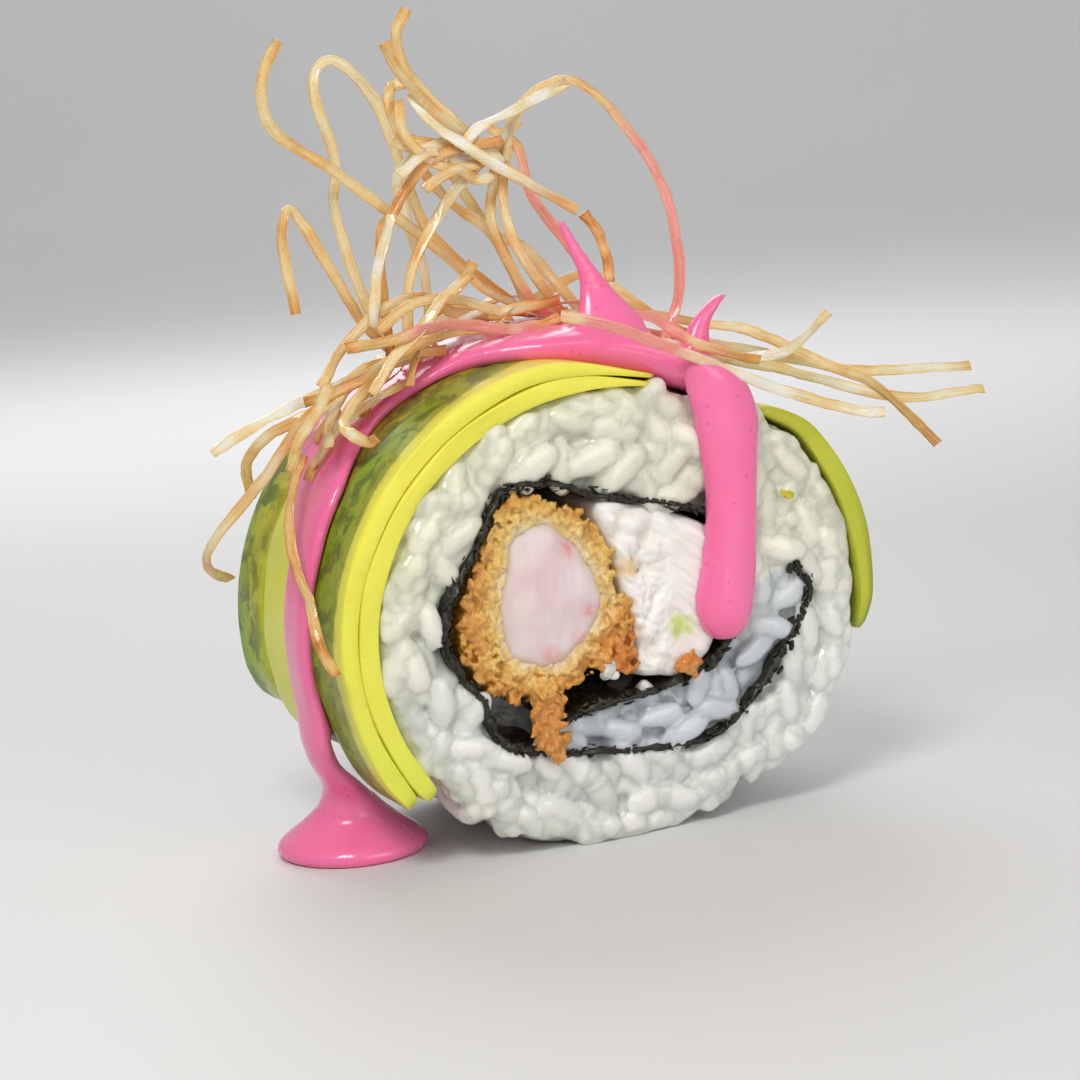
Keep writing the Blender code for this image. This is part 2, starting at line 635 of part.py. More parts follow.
def puddle():
    """Round puddle on the floor that rises like a bell to the run above it."""
    shape = bmesh.new()
    line = [shape.verts.new((radius * MM, 0, z * MM)) for radius, z in PUDDLE_PROFILE]
    for start, end in zip(line, line[1:]):
        shape.edges.new((start, end))
    mesh = bpy.data.meshes.new("puddle")
    shape.to_mesh(mesh)
    shape.free()
    item = add_object("puddle", mesh)
    turn = item.modifiers.new("Screw", "SCREW")
    turn.steps = 20
    turn.render_steps = 20
    turn.use_merge_vertices = True
    turn.merge_threshold = 0.01 * MM
    turn.use_normal_calculate = True
    item = baked(item)
    item.data.transform(Matrix.Translation((PUDDLE_AT[0] * MM, PUDDLE_AT[1] * MM, 0)))
    return item


def sauce():
    """All of the sauce as one body: coat, drip, neck, puddle and pulled peak."""
    neck = loft("neck", [round_ring(*level) for level in NECK_LEVELS])
    peak = loft("peak", [round_ring(*level, count=8) for level in PEAK_LEVELS])
    return largest_body(joined(sauce_coat("sauce"), [drip(), neck, puddle(), peak]))


def sauce_top(angle):
    """Rise of the sauce's top at an angle, between the levels of its table."""
    rows = SAUCE_COAT
    if angle <= rows[0][0]:
        return rows[0][4]
    for low, high in zip(rows, rows[1:]):
        if angle <= high[0]:
            share = (angle - low[0]) / (high[0] - low[0])
            return low[4] + share * (high[4] - low[4])
    return rows[-1][4]


def lifted(point, margin):
    """Move a strand's point outwards until it is clear of the sauce and the avocado."""
    x = point.x
    z = point.z - AXIS_HEIGHT
    rise = 0.0
    for _ in range(20):
        rise += (math.hypot(x / (HALF_WIDTH + rise), z / (HALF_HEIGHT + rise)) - 1) * 20
    angle = math.degrees(math.atan2(z / (HALF_HEIGHT + rise), x / (HALF_WIDTH + rise)))
    needed = sauce_top(angle % 360) + STRAND_CLEARANCE + margin
    return on_roll(angle, max(rise, needed), point.y)


def strand(name, width, start_y, end_y, route):
    """Flat fried ribbon along its route, twisting slowly and thinner at its ends."""
    line = []
    for i, (x, z) in enumerate(route):
        line.append((x, start_y + (end_y - start_y) * i / (len(route) - 1), z))
    line = [lifted(point, width * 0.45) for point in smooth_line(line, STRAND_STEPS)]
    curve = bpy.data.curves.new(name, "CURVE")
    curve.dimensions = "3D"
    curve.extrude = width / 2 * MM
    spline = curve.splines.new("POLY")
    spline.points.add(len(line) - 1)
    for i, place in enumerate(line):
        share = i / (len(line) - 1)
        spline.points[i].co = (*(place * MM), 1)
        spline.points[i].tilt = 0.5 * math.sin(len(name) + 3 * share)
        spline.points[i].radius = 0.72 + 0.28 * math.sin(math.pi * share)
    ribbon = baked(add_object(name, curve))
    solid = ribbon.modifiers.new("Solidify", "SOLIDIFY")
    solid.thickness = STRAND_THICKNESS * MM
    solid.offset = 0
    return baked(ribbon)


def crispy_strands():
    """Fried strands tangled on top, held by the low mat where they lie on the sauce."""
    rings = []
    for angle in range(MAT_ANGLES[0], MAT_ANGLES[1] + 1, 6):
        low = max(sauce_top(angle - 4), sauce_top(angle + 4), sauce_top(angle)) + STRAND_CLEARANCE
        high = low + MAT_THICKNESS + 0.4 * math.sin(angle)
        front = MAT_EDGES[0] + 0.8 * math.sin(2 * angle)
        back = MAT_EDGES[1] + 0.8 * math.cos(3 * angle)
        section = [(front, low), (back, low), (back - 1, high), (2.0, high + 0.6), (front + 1, high)]
        rings.append([on_roll(angle, rise, y) for y, rise in section])
    mat = loft("crispy_strands", rings)
    ribbons = []
    for name, (width, start_y, end_y, route) in STRAND_ROUTES.items():
        ribbons.append(strand(name, width, start_y, end_y, route))
    return largest_body(joined(mat, ribbons))


def finish(item, look, collection):
    """File an object in the model's collection and give it its material."""
    colour, roughness = COLOURS[look]
    material = bpy.data.materials.new(item.name)
    material.use_nodes = True
    shader = material.node_tree.nodes["Principled BSDF"]
    shader.inputs["Base Color"].default_value = (*colour, 1)
    shader.inputs["Roughness"].default_value = roughness
    item.data.materials.clear()
    item.data.materials.append(material)
    item.data.shade_smooth()
    item.data.set_sharp_from_angle(angle=math.radians(50))
    bpy.context.scene.collection.objects.unlink(item)
    collection.objects.link(item)


def build():
    """Make every piece of the roll."""
    for item in list(bpy.data.objects):
        bpy.data.objects.remove(item)
    collection = bpy.data.collections.new("uramaki_roll")
    bpy.context.scene.collection.children.link(collection)
    finish(rice(), "rice", collection)
    finish(nori_sheet("nori", 0, FACE), "nori", collection)
    finish(shrimp(), "shrimp", collection)
    finish(crumb_coat(), "crumb_coat", collection)
    finish(cream_cheese(), "cream_cheese", collection)
    for name, (first, last, front, back, inner, outer) in AVOCADO_SLICES.items():
        finish(avocado_slice(name, first, last, front, back, inner, outer), "avocado", collection)
    finish(sauce(), "sauce", collection)
    finish(crispy_strands(), "crispy_strands", collection)


build()
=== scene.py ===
"""Uramaki roll: rice, nori, fried shrimp, cream cheese, avocado, pink sauce, fried strands.

Lengths are in millimetres, as seen with the roll's axis along Y and the cut face with the
drip towards -Y, and become metres when a mesh is made.
"""

import math
import random

import bmesh
import bpy
import numpy as np
from mathutils import Matrix, Vector, noise
from mathutils.kdtree import KDTree


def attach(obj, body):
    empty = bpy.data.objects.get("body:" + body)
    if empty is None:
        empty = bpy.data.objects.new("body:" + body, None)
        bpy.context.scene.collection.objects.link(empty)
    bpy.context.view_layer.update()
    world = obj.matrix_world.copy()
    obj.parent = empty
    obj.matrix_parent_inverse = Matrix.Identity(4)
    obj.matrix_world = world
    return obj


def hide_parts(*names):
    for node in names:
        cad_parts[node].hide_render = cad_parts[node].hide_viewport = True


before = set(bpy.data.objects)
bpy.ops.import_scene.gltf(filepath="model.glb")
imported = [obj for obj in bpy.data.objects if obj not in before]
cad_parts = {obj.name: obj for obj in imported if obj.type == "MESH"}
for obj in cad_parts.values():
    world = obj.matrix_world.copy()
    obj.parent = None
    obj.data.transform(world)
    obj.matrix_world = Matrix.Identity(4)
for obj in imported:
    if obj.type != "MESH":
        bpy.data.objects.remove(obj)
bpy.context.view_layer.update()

# Rice
# Cooked short-grain rice, pressed by hand round the nori, so that its moist grains stick
# to each other and keep their shapes. Grains are laid on a core and all of it is fused.
MM = 0.001
HALF_WIDTH, HALF_HEIGHT, AXIS_HEIGHT, FACE = 24.4, 21.9, 21.7, 14.0
BULGE, BULGE_REACH, BULGE_EASE = 2.2, 58, 22
BARE_FROM, BARE_TO = 226, 350
# The nori as x and z, from its free end on the right round the filling to its inner end
NORI_ROUTE = [
    (19.8, 24.3), (21.1, 21.5), (18.8, 17.0), (15.0, 12.4), (8.7, 8.4), (0.0, 8.6),
    (-7.0, 9.7), (-12.8, 11.2), (-14.6, 16.0), (-17.9, 20.7), (-17.4, 25.6), (-14.6, 30.0),
    (-11.4, 35.2), (-7.0, 35.6), (-0.7, 33.8), (6.4, 31.9), (11.8, 29.2), (13.0, 22.5),
    (10.6, 16.4), (3.5, 14.0), (-3.2, 13.6), (-6.2, 12.2)]
LOOP_START = 6
GRAIN_HALF = (3.1, 1.6, 1.4)
CORE_SINK = 1.2
PRESSED_FROM, PRESSED = 13.7, 0.62


def on_roll(angle, rise, y):
    """Point at an angle round the roll, above its rice by a rise."""
    turn = math.radians(angle)
    return Vector(((HALF_WIDTH + rise) * math.cos(turn), y,
                   AXIS_HEIGHT + (HALF_HEIGHT + rise) * math.sin(turn)))


def eased(share):
    """Share from 0 to 1 that starts and ends gently."""
    return share * share * (3 - 2 * share)


def bulge(angle):
    """How far the rice bulges out of its oval on the right."""
    from_right = np.abs((angle + 180) % 360 - 180)
    return BULGE * eased(np.clip((BULGE_REACH - from_right) / BULGE_EASE, 0, 1))


def on_rice(angle, rise, y):
    """Point at an angle round the roll, above its bulging rice by a rise."""
    return on_roll(angle, rise + bulge(angle), y)


def share_of_rim(x, z, room=0.0):
    """Distance from the roll's axis as a share of the way to its rim."""
    room = room + bulge(np.degrees(np.arctan2(z - AXIS_HEIGHT, x)))
    return np.hypot(x / (HALF_WIDTH + room), (z - AXIS_HEIGHT) / (HALF_HEIGHT + room))


def on_curve(before, start, end, after, t):
    """Catmull-Rom point at a share t of the way from a start to an end."""
    return 0.5 * (2 * start + (end - before) * t
                  + (2 * before - 5 * start + 4 * end - after) * t ** 2
                  + (3 * start - before - 3 * end + after) * t ** 3)


def smooth_line(points, steps, closed=False):
    """Catmull-Rom line through the points, with a number of steps between each two."""
    points = [Vector(point) for point in points]
    count = len(points)
    line = []
    for i in range(count if closed else count - 1):
        if closed:
            before, start, end, after = (points[(i + k) % count] for k in (-1, 0, 1, 2))
        else:
            start, end = points[i], points[i + 1]
            before = points[i - 1] if i else 2 * start - end
            after = points[i + 2] if i + 2 < count else 2 * end - start
        line += [on_curve(before, start, end, after, step / steps) for step in range(steps)]
    if not closed:
        line.append(points[-1])
    return line


def inside(outline, x, z):
    """True for a point inside a closed outline."""
    hit = False
    for i, end in enumerate(outline):
        start = outline[i - 1]
        if (start[1] > z) != (end[1] > z):
            if x < start[0] + (z - start[1]) / (end[1] - start[1]) * (end[0] - start[0]):
                hit = not hit
    return hit


def spread(rng, draw, spacing, tries):
    """Evenly spread random places, none nearer to another than the spacing."""
    places, cells = [], {}
    for _ in range(tries):
        place = draw(rng)
        if place is None:
            continue
        home = tuple(int(value // spacing) for value in place)
        near = (other for i in (-1, 0, 1) for j in (-1, 0, 1) for k in (-1, 0, 1)
                for other in cells.get((home[0] + i, home[1] + j, home[2] + k), ()))
        if all((place - other).length > spacing for other in near):
            places.append(place)
            cells.setdefault(home, []).append(place)
    return places


def linked(name, content):
    """New object in the scene for a mesh, light or camera."""
    item = bpy.data.objects.new(name, content)
    bpy.context.scene.collection.objects.link(item)
    return item


def shape_of(name, points, faces, edges=(), **attributes):
    """Object for points in millimetres, with number or vector attributes on its points."""
    mesh = bpy.data.meshes.new(name)
    mesh.from_pydata([Vector(point) * MM for point in points], edges, faces)
    for label, values in attributes.items():
        flat = np.array(values, np.float32)
        sort, entry = ("FLOAT_VECTOR", "vector") if flat.ndim == 2 else ("FLOAT", "value")
        mesh.attributes.new(label, sort, "POINT").data.foreach_set(entry, flat.ravel())
    return linked(name, mesh)


def face_outward(item):
    """Turn every face of a closed shape outwards."""
    shape = bmesh.new()
    shape.from_mesh(item.data)
    bmesh.ops.recalc_face_normals(shape, faces=shape.faces)
    shape.to_mesh(item.data)
    shape.free()
    return item


def plain(item):
    """Turn an object with modifiers into the plain mesh that they make."""
    bpy.context.view_layer.update()
    graph = bpy.context.evaluated_depsgraph_get()
    mesh = bpy.data.meshes.new_from_object(item.evaluated_get(graph))
    item.modifiers.clear()
    item.data = mesh
    return item


def fused(name, items, voxel, melting):
    """One closed skin round several overlapping shapes, melted for a number of rounds."""
    shape = bmesh.new()
    for item in items:
        shape.from_mesh(item.data)
        bpy.data.objects.remove(item)
    mesh = bpy.data.meshes.new(name)
    shape.to_mesh(mesh)
    shape.free()
    item = linked(name, mesh)
    skin = item.modifiers.new("Skin", "REMESH")
    skin.mode = "VOXEL"
    skin.voxel_size = voxel * MM
    melt = item.modifiers.new("Melt", "SMOOTH")
    melt.factor = 0.5
    melt.iterations = melting
    return plain(item)


def positions(item):
    """Points of an object's mesh as an array in millimetres."""
    flat = np.empty(len(item.data.vertices) * 3, np.float32)
    item.data.vertices.foreach_get("co", flat)
    return flat.reshape(-1, 3) / MM


def reshape(item, places):
    """Give an object's mesh new places, in millimetres."""
    item.data.vertices.foreach_set("co", (np.asarray(places, np.float32) * MM).ravel())
    item.data.update()


def mark(item, label, values):
    """Keep a number for each point of a mesh, for its material to read."""
    layer = item.data.attributes.new(label, "FLOAT", "POINT")
    layer.data.foreach_set("value", np.asarray(values, np.float32))


def hollows(item, rounds, deepest=0.35):
    """How far each point lies below the middle of its neighbours, from 0 to 1 for the deepest."""
    count = len(item.data.vertices)
    ends = np.empty(len(item.data.edges) * 2, np.int64)
    item.data.edges.foreach_get("vertices", ends)
    ends = ends.reshape(-1, 2)
    degree = np.bincount(ends.ravel(), minlength=count)[:, None]
    start = positions(item)
    soft = start.copy()
    for _ in range(rounds):
        total = np.zeros_like(soft)
        np.add.at(total, ends[:, 0], soft[ends[:, 1]])
        np.add.at(total, ends[:, 1], soft[ends[:, 0]])
        soft = total / np.maximum(degree, 1)
    normals = np.empty(count * 3, np.float32)
    item.data.vertex_normals.foreach_get("vector", normals)
    depth = ((soft - start) * normals.reshape(-1, 3)).sum(1)
    return np.clip(depth / deepest, 0, 1)


def put(tree, kind, values=None, **settings):
    """Add a node; an input's value may be another node's output, which is then linked."""
    made = tree.nodes.new(kind)
    for label, setting in settings.items():
        setattr(made, label, setting)
    for socket, value in (values or {}).items():
        if isinstance(value, bpy.types.NodeSocket):
            tree.links.new(value, made.inputs[socket])
        else:
            made.inputs[socket].default_value = value
    return made


def new_tree(name, kind, inputs, outputs):
    """Node group with named inputs and outputs, and its two end nodes."""
    tree = bpy.data.node_groups.new(name, kind)
    for direction, sockets in (("INPUT", inputs), ("OUTPUT", outputs)):
        for label, sort in sockets.items():
            tree.interface.new_socket(label, in_out=direction, socket_type="NodeSocket" + sort)
    return tree, tree.nodes.new("NodeGroupInput").outputs, tree.nodes.new("NodeGroupOutput")


def calc(tree, operation, *values):
    """What a math node makes of two or three values."""
    return put(tree, "ShaderNodeMath", dict(enumerate(values)), operation=operation).outputs[0]


def spanned(tree, value, low, high, to_low=0.0, to_high=1.0):
    """A value's range from low to high, spread over another range."""
    return put(tree, "ShaderNodeMapRange", {
        0: value, 1: low, 2: high, 3: to_low, 4: to_high}).outputs[0]


def named(tree, label, sort="FLOAT"):
    """An attribute of the guide's points."""
    return put(tree, "GeometryNodeInputNamedAttribute", {"Name": label}, data_type=sort).outputs[0]


def roughen(tree, given, result, geometry, place, detail):
    """End a tree: real geometry, pushed about by noise at a place, with its material."""
    real = put(tree, "GeometryNodeRealizeInstances", {"Geometry": geometry})
    rough = put(tree, "ShaderNodeTexNoise", {
        "Vector": place, "Scale": given["Uneven Scale"], "Detail": detail})
    centred = put(tree, "ShaderNodeVectorMath", {0: rough.outputs["Color"], 1: (0.5, 0.5, 0.5)},
                  operation="SUBTRACT")
    push = put(tree, "ShaderNodeVectorMath", {
        0: centred.outputs[0], "Scale": given["Unevenness"]}, operation="SCALE")
    uneven = put(tree, "GeometryNodeSetPosition", {
        "Geometry": real.outputs[0], "Offset": push.outputs[0]})
    dressed = put(tree, "GeometryNodeSetMaterial", {
        "Geometry": uneven.outputs[0], "Material": given["Material"]})
    tree.links.new(dressed.outputs[0], result.inputs[0])
    return tree


def lumps_tree():
    """Geometry nodes that set a lump on each guide point, turned by its attributes."""
    tree, given, result = new_tree("Lumps on points", "GeometryNodeTree", {
        "Guide": "Geometry", "Segments": "Int", "Rings": "Int", "Length": "Float",
        "Width": "Float", "Thickness": "Float", "Bend": "Float", "Unevenness": "Float",
        "Uneven Scale": "Float", "Seed": "Float", "Material": "Material"},
        {"Geometry": "Geometry"})
    ball = put(tree, "GeometryNodeMeshUVSphere", {
        "Segments": given["Segments"], "Rings": given["Rings"], "Radius": 1.0})
    place = put(tree, "GeometryNodeInputPosition").outputs[0]
    upright = put(tree, "ShaderNodeSeparateXYZ", {0: place})
    square = calc(tree, "MULTIPLY", upright.outputs["Z"], upright.outputs["Z"])
    shift = put(tree, "ShaderNodeCombineXYZ", {"X": calc(tree, "MULTIPLY", square, given["Bend"])})
    bent = put(tree, "GeometryNodeSetPosition", {
        "Geometry": ball.outputs["Mesh"], "Offset": shift.outputs[0]})
    sizes = put(tree, "ShaderNodeCombineXYZ", {
        "X": given["Thickness"], "Y": given["Width"], "Z": given["Length"]})
    scale = put(tree, "ShaderNodeVectorMath", {0: sizes.outputs[0], "Scale": named(tree, "size")},
                operation="SCALE")
    turn = put(tree, "FunctionNodeAxesToRotation", {
        "Primary Axis": named(tree, "along", "FLOAT_VECTOR"),
        "Secondary Axis": named(tree, "outward", "FLOAT_VECTOR")},
        primary_axis="Z", secondary_axis="X")
    dots = put(tree, "GeometryNodeMeshToPoints", {"Mesh": given["Guide"]})
    many = put(tree, "GeometryNodeInstanceOnPoints", {
        "Points": dots.outputs[0], "Instance": bent.outputs[0], "Rotation": turn.outputs[0],
        "Scale": scale.outputs[0]})
    seed = put(tree, "ShaderNodeCombineXYZ", {"X": given["Seed"], "Y": given["Seed"]})
    moved = put(tree, "ShaderNodeVectorMath", {0: place, 1: seed.outputs[0]}, operation="ADD")
    return roughen(tree, given, result, many.outputs[0], moved.outputs[0], 2.0)


def grow(guide, tree, values):
    """Run a geometry node tree on a guide object and keep what it makes as a plain mesh."""
    change = guide.modifiers.new("Growth", "NODES")
    change.node_group = tree
    for socket in tree.interface.items_tree:
        if socket.in_out == "INPUT" and socket.name in values:
            change[socket.identifier] = values[socket.name]
    return plain(guide)


def lay(name, marks, values, look=None):
    """Lumps for a list of marks: place, direction along, direction outward, size, shade."""
    guide = shape_of(name, [entry[0] for entry in marks], [],
                     along=[entry[1] for entry in marks], outward=[entry[2] for entry in marks],
                     size=[entry[3] for entry in marks], shade=[entry[4] for entry in marks])
    lengths = ("Length", "Width", "Thickness", "Unevenness")
    sizes = {label: value * MM if label in lengths else value for label, value in values.items()}
    sizes["Material"] = look
    return grow(guide, LUMPS, sizes)


def turned_by(rng, outward, first, spread_of):
    """Direction across the outward one, near a first direction or any way round."""
    side = first - outward * first.dot(outward)
    along = Matrix.Rotation(rng.gauss(0, spread_of), 3, outward) @ side.normalized()
    return (along + outward * rng.uniform(-0.2, 0.2)).normalized()


def grain_marks(rng):
    """Where the grains that show lie: on both cut faces, round the rims and on the side."""
    marks = []

    def add(place, outward, first, loose, small=1.0):
        marks.append((place, turned_by(rng, outward, first, loose), outward,
                      small * rng.uniform(0.76, 1.06), rng.random()))

    def on_face(rng):
        x = rng.uniform(-HALF_WIDTH, HALF_WIDTH + BULGE)
        z = AXIS_HEIGHT + rng.uniform(-HALF_HEIGHT, HALF_HEIGHT)
        near = min(math.hypot(x - point.x, z - point.y) for point in NORI_LINE)
        if share_of_rim(x, z, -1.8) > 1 or inside(FILLING, x, z) or near < 1.1:
            return None
        return Vector((x, 0, z))

    for side in (-1, 1):
        outward = Vector((0, side, 0))
        for spacing, high, low in ((2.3, 1.1, 1.8), (2.9, 0.2, 0.9)):
            for place in spread(rng, on_face, spacing, 4000):
                round_rim = (place - Vector((0, 0, AXIS_HEIGHT))).cross(outward)
                loose = 0.5 if share_of_rim(place.x, place.z) > 0.75 else 1.6
                small = 0.85 if inside(FLAP, place.x, place.z) else 1.0
                place.y = side * (FACE - rng.uniform(high, low))
                add(place, outward, round_rim, loose, small)
        for angle in range(0, 360, 7):
            bare = BARE_FROM < angle < BARE_TO
            wander, rise = rng.uniform(-2, 2), rng.uniform(-1.5, -0.9) if bare else -1.5
            rim = on_rice(angle + wander, rise, side * (FACE - rng.uniform(0.6, 1.3)))
            lean = Vector((rim.x, 0, rim.z - AXIS_HEIGHT)).normalized() * (0.9 if bare else 0.2)
            outward = (lean + Vector((0, side, 0))).normalized()
            add(rim, outward, lean.cross(Vector((0, side, 0))), 0.6)

    def on_side(rng):
        angle, y = rng.uniform(196, 347), rng.uniform(2.0 - FACE, FACE - 2.0)
        if angle < BARE_FROM and y < 0 or angle > 338 and y > -1.5:
            return None
        return on_rice(angle, 0, y)

    def on_top_back(rng):
        return on_rice(rng.uniform(44, 84), 0, rng.uniform(9.8, FACE - 1.6))

    for rule, spacing in ((on_side, 2.5), (on_side, 3.2), (on_top_back, 2.4)):
        for place in spread(rng, rule, spacing, 3000):
            outward = Vector((place.x, 0, place.z - AXIS_HEIGHT)).normalized()
            deep = rng.uniform(0.25, 0.8) if spacing > 2.5 else rng.uniform(1.0, 1.5)
            add(place - outward * deep, outward, Vector((0, 1, 0)), 1.2)
    return marks


NORI_LINE = smooth_line(NORI_ROUTE, 8)
FILLING = NORI_LINE[LOOP_START * 8:]
FLAP = [*NORI_ROUTE[0:7], *reversed(NORI_ROUTE[17:22])]
LUMPS = lumps_tree()

rng = random.Random(21)
marks = grain_marks(rng)
grains = lay("rice_grains", marks, {
    "Segments": 10, "Rings": 8, "Length": GRAIN_HALF[0], "Width": GRAIN_HALF[1],
    "Thickness": GRAIN_HALF[2], "Bend": 0.2, "Unevenness": 0.9, "Uneven Scale": 300.0,
    "Seed": 3.1})


def rice_core():
    """Closed cylinder of rice with the space of the filling left open."""
    rim = [on_rice(angle, 0.1 if 40 < angle < 214 else -CORE_SINK / 2, 0)
           for angle in range(0, 360, 3)]
    shape = bmesh.new()
    for y in (-FACE + CORE_SINK, FACE - CORE_SINK):
        outer = [shape.verts.new((p.x * MM, y * MM, p.z * MM)) for p in rim]
        inner = [shape.verts.new((p.x * MM, y * MM, p.y * MM)) for p in FILLING]
        edges = [shape.edges.new((loop[i - 1], loop[i]))
                 for loop in (outer, inner) for i in range(len(loop))]
        bmesh.ops.triangle_fill(shape, edges=edges, use_beauty=True)
        for label, loop in (("outer", outer), ("inner", inner)):
            if y > 0:
                first = before[label]
                for i in range(len(loop)):
                    shape.faces.new((first[i - 1], first[i], loop[i], loop[i - 1]))
        before = {"outer": outer, "inner": inner}
    bmesh.ops.recalc_face_normals(shape, faces=shape.faces)
    mesh = bpy.data.meshes.new("rice_core")
    shape.to_mesh(mesh)
    shape.free()
    return linked("rice_core", mesh)


rice = fused("rice_layer", [rice_core(), grains], voxel=0.34, melting=0)
places = positions(rice)
gap = np.full(len(places), 9.0)
for point in NORI_LINE:
    gap = np.minimum(gap, np.hypot(places[:, 0] - point.x, places[:, 2] - point.y))
# The knife has pressed the cut grains flatter, and the rice dips beside the nori
depth = np.abs(places[:, 1])
depth = np.where(depth > PRESSED_FROM, PRESSED_FROM + PRESSED * (depth - PRESSED_FROM), depth)
depth = np.minimum(depth, 13.3 + 1.9 * np.clip(gap - 0.1, 0, 1) ** 0.6)
places[:, 1] = np.sign(places[:, 1]) * depth
places[:, 2] = np.maximum(places[:, 2], 0.02)
reshape(rice, places)
# Each point takes its nearest grain's tone; where the next grain is as near, painted shade darkens
# a thin seam between them
tree = KDTree(3 * len(marks))
for k, (place, along, _, size, _) in enumerate(marks):
    for i, step in enumerate((-0.6, 0.0, 0.6)):
        tree.insert(place + along * step * size * GRAIN_HALF[0], 3 * k + i)
tree.balance()
shades, seam_shades = [], []
for place in places:
    found = tree.find_n(place, 4)
    own = found[0][1] // 3
    other = next((far for _, index, far in found if index // 3 != own), 9.0)
    shades.append(marks[own][4])
    seam_shades.append(max(0.0, 1 - (other - found[0][2]) / 0.45))
mark(rice, "shade", shades)
mark(rice, "seam_shade", seam_shades)
out = share_of_rim(places[:, 0], places[:, 2])
# Points that lie deep below the cut faces or the outer skin get painted shade, darker the deeper
# they lie
below = np.minimum(FACE + 0.5 - np.abs(places[:, 1]), 0.6 - (out - 1) * HALF_HEIGHT)
mark(rice, "sunk_shade", np.clip(below / 2.4, 0, 1))
# Painted warm light: rice is tinted yellower the higher it lies, as lit by the warm key from above;
# rice beside the avocado also gets a yellow tint
beside_avocado = np.clip((out - 0.8) / 0.15, 0, 1) * (places[:, 0] < 4) * (places[:, 1] < -9)
mark(rice, "warm_light_and_avocado_tint", np.clip((places[:, 2] - 14) / 20, 0, 0.7) + 0.3 * beside_avocado)
mark(rice, "cool", [float(abs(y) > 10 and inside(FLAP, x, z)) for x, y, z in places])


def relief_group():
    """Shader group: patches, fine speckle, uneven roughness and a bumped normal."""
    tree, given, result = new_tree("Food surface", "ShaderNodeTree", {
        "Vector": "Vector", "Patch Scale": "Float", "Fine Scale": "Float", "Roughest": "Float",
        "Smoothest": "Float", "Depth": "Float"},
        {"Patch": "Float", "Fine": "Float", "Roughness": "Float", "Normal": "Vector"})
    patch = put(tree, "ShaderNodeTexNoise", {
        "Vector": given["Vector"], "Scale": given["Patch Scale"], "Detail": 3.0})
    fine = put(tree, "ShaderNodeTexNoise", {
        "Vector": given["Vector"], "Scale": given["Fine Scale"], "Detail": 4.0, "Roughness": 0.6})
    patch, fine = patch.outputs["Fac"], fine.outputs["Fac"]
    bump = put(tree, "ShaderNodeBump", {
        "Distance": given["Depth"], "Height": calc(tree, "ADD", patch, fine)})
    roughness = spanned(tree, patch, 0.35, 0.65, given["Smoothest"], given["Roughest"])
    for label, socket in (
            ("Patch", spanned(tree, patch, 0.3, 0.7)), ("Fine", spanned(tree, fine, 0.3, 0.7)),
            ("Roughness", roughness), ("Normal", bump.outputs[0])):
        tree.links.new(socket, result.inputs[label])
    return tree


SURFACE = relief_group()


def new_look(name, patch, fine, smoothest, roughest, depth, **fixed):
    """Material with the food surface group on its shader, and the parts to colour it."""
    look = bpy.data.materials.new(name)
    look.use_nodes = True
    tree = look.node_tree
    shader = tree.nodes["Principled BSDF"]
    place = put(tree, "ShaderNodeTexCoord").outputs["Object"]
    surface = put(tree, "ShaderNodeGroup", node_tree=SURFACE)
    tree.links.new(place, surface.inputs["Vector"])
    for label, value in (("Patch Scale", patch), ("Fine Scale", fine), ("Roughest", roughest),
                         ("Smoothest", smoothest), ("Depth", depth * MM)):
        surface.inputs[label].default_value = value
    tree.links.new(surface.outputs["Roughness"], shader.inputs["Roughness"])
    tree.links.new(surface.outputs["Normal"], shader.inputs["Normal"])
    for label, value in fixed.items():
        shader.inputs[label.replace("_", " ")].default_value = value
    return look, tree, shader, place, surface.outputs


def kept(tree, label):
    """A number that the mesh keeps for each of its points."""
    return put(tree, "ShaderNodeAttribute", attribute_name=label).outputs["Fac"]


def ramp(tree, value, *stops):
    """Colours along a value, as (position, colour) stops."""
    made = put(tree, "ShaderNodeValToRGB", {0: value})
    line = made.color_ramp.elements
    while len(line) < len(stops):
        line.new(0.5)
    for stop, (where, colour) in zip(line, stops):
        stop.position = where
        stop.color = (*colour, 1)
    return made.outputs["Color"]


def blend(tree, factor, first, second, mode="MIX"):
    """Mix two colours, each a colour or another node's output."""
    made = put(tree, "ShaderNodeMix", data_type="RGBA", blend_type=mode)
    for socket, value in ((0, factor), (6, first), (7, second)):
        if isinstance(value, bpy.types.NodeSocket):
            tree.links.new(value, made.inputs[socket])
        else:
            made.inputs[socket].default_value = value if socket == 0 else (*value, 1)
    return made.outputs[2]


def settle(item, look, material_slot, *nodes):
    """Give a finished piece its material, smooth faces and body, and hide the nodes it replaces;
    material_slot is not used.
    """
    item.data.materials.clear()
    item.data.materials.append(look)
    item.data.polygons.foreach_set("use_smooth", [True] * len(item.data.polygons))
    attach(item, "root")
    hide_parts(*nodes)


look, tree, shader, place, surface = new_look(
    "moist rice", patch=420, fine=2600, smoothest=0.08, roughest=0.28, depth=0.07,
    Subsurface_Weight=0.5, Subsurface_Scale=0.0016, Subsurface_Radius=(1.0, 0.95, 0.85),
    Coat_Weight=0.8, Coat_Roughness=0.05)
colour = ramp(tree, kept(tree, "shade"), (0.0, (0.70, 0.72, 0.68)), (0.4, (0.80, 0.81, 0.77)),
              (0.8, (0.89, 0.89, 0.86)), (1.0, (0.95, 0.95, 0.92)))
colour = blend(tree, surface["Patch"], colour, (0.84, 0.85, 0.82))
# Painted shade: the seams between grains are darkened
colour = blend(tree, kept(tree, "seam_shade"), colour, (0.77, 0.79, 0.78), "MULTIPLY")
colour = blend(tree, kept(tree, "cool"), colour, (0.76, 0.81, 0.92), "MULTIPLY")
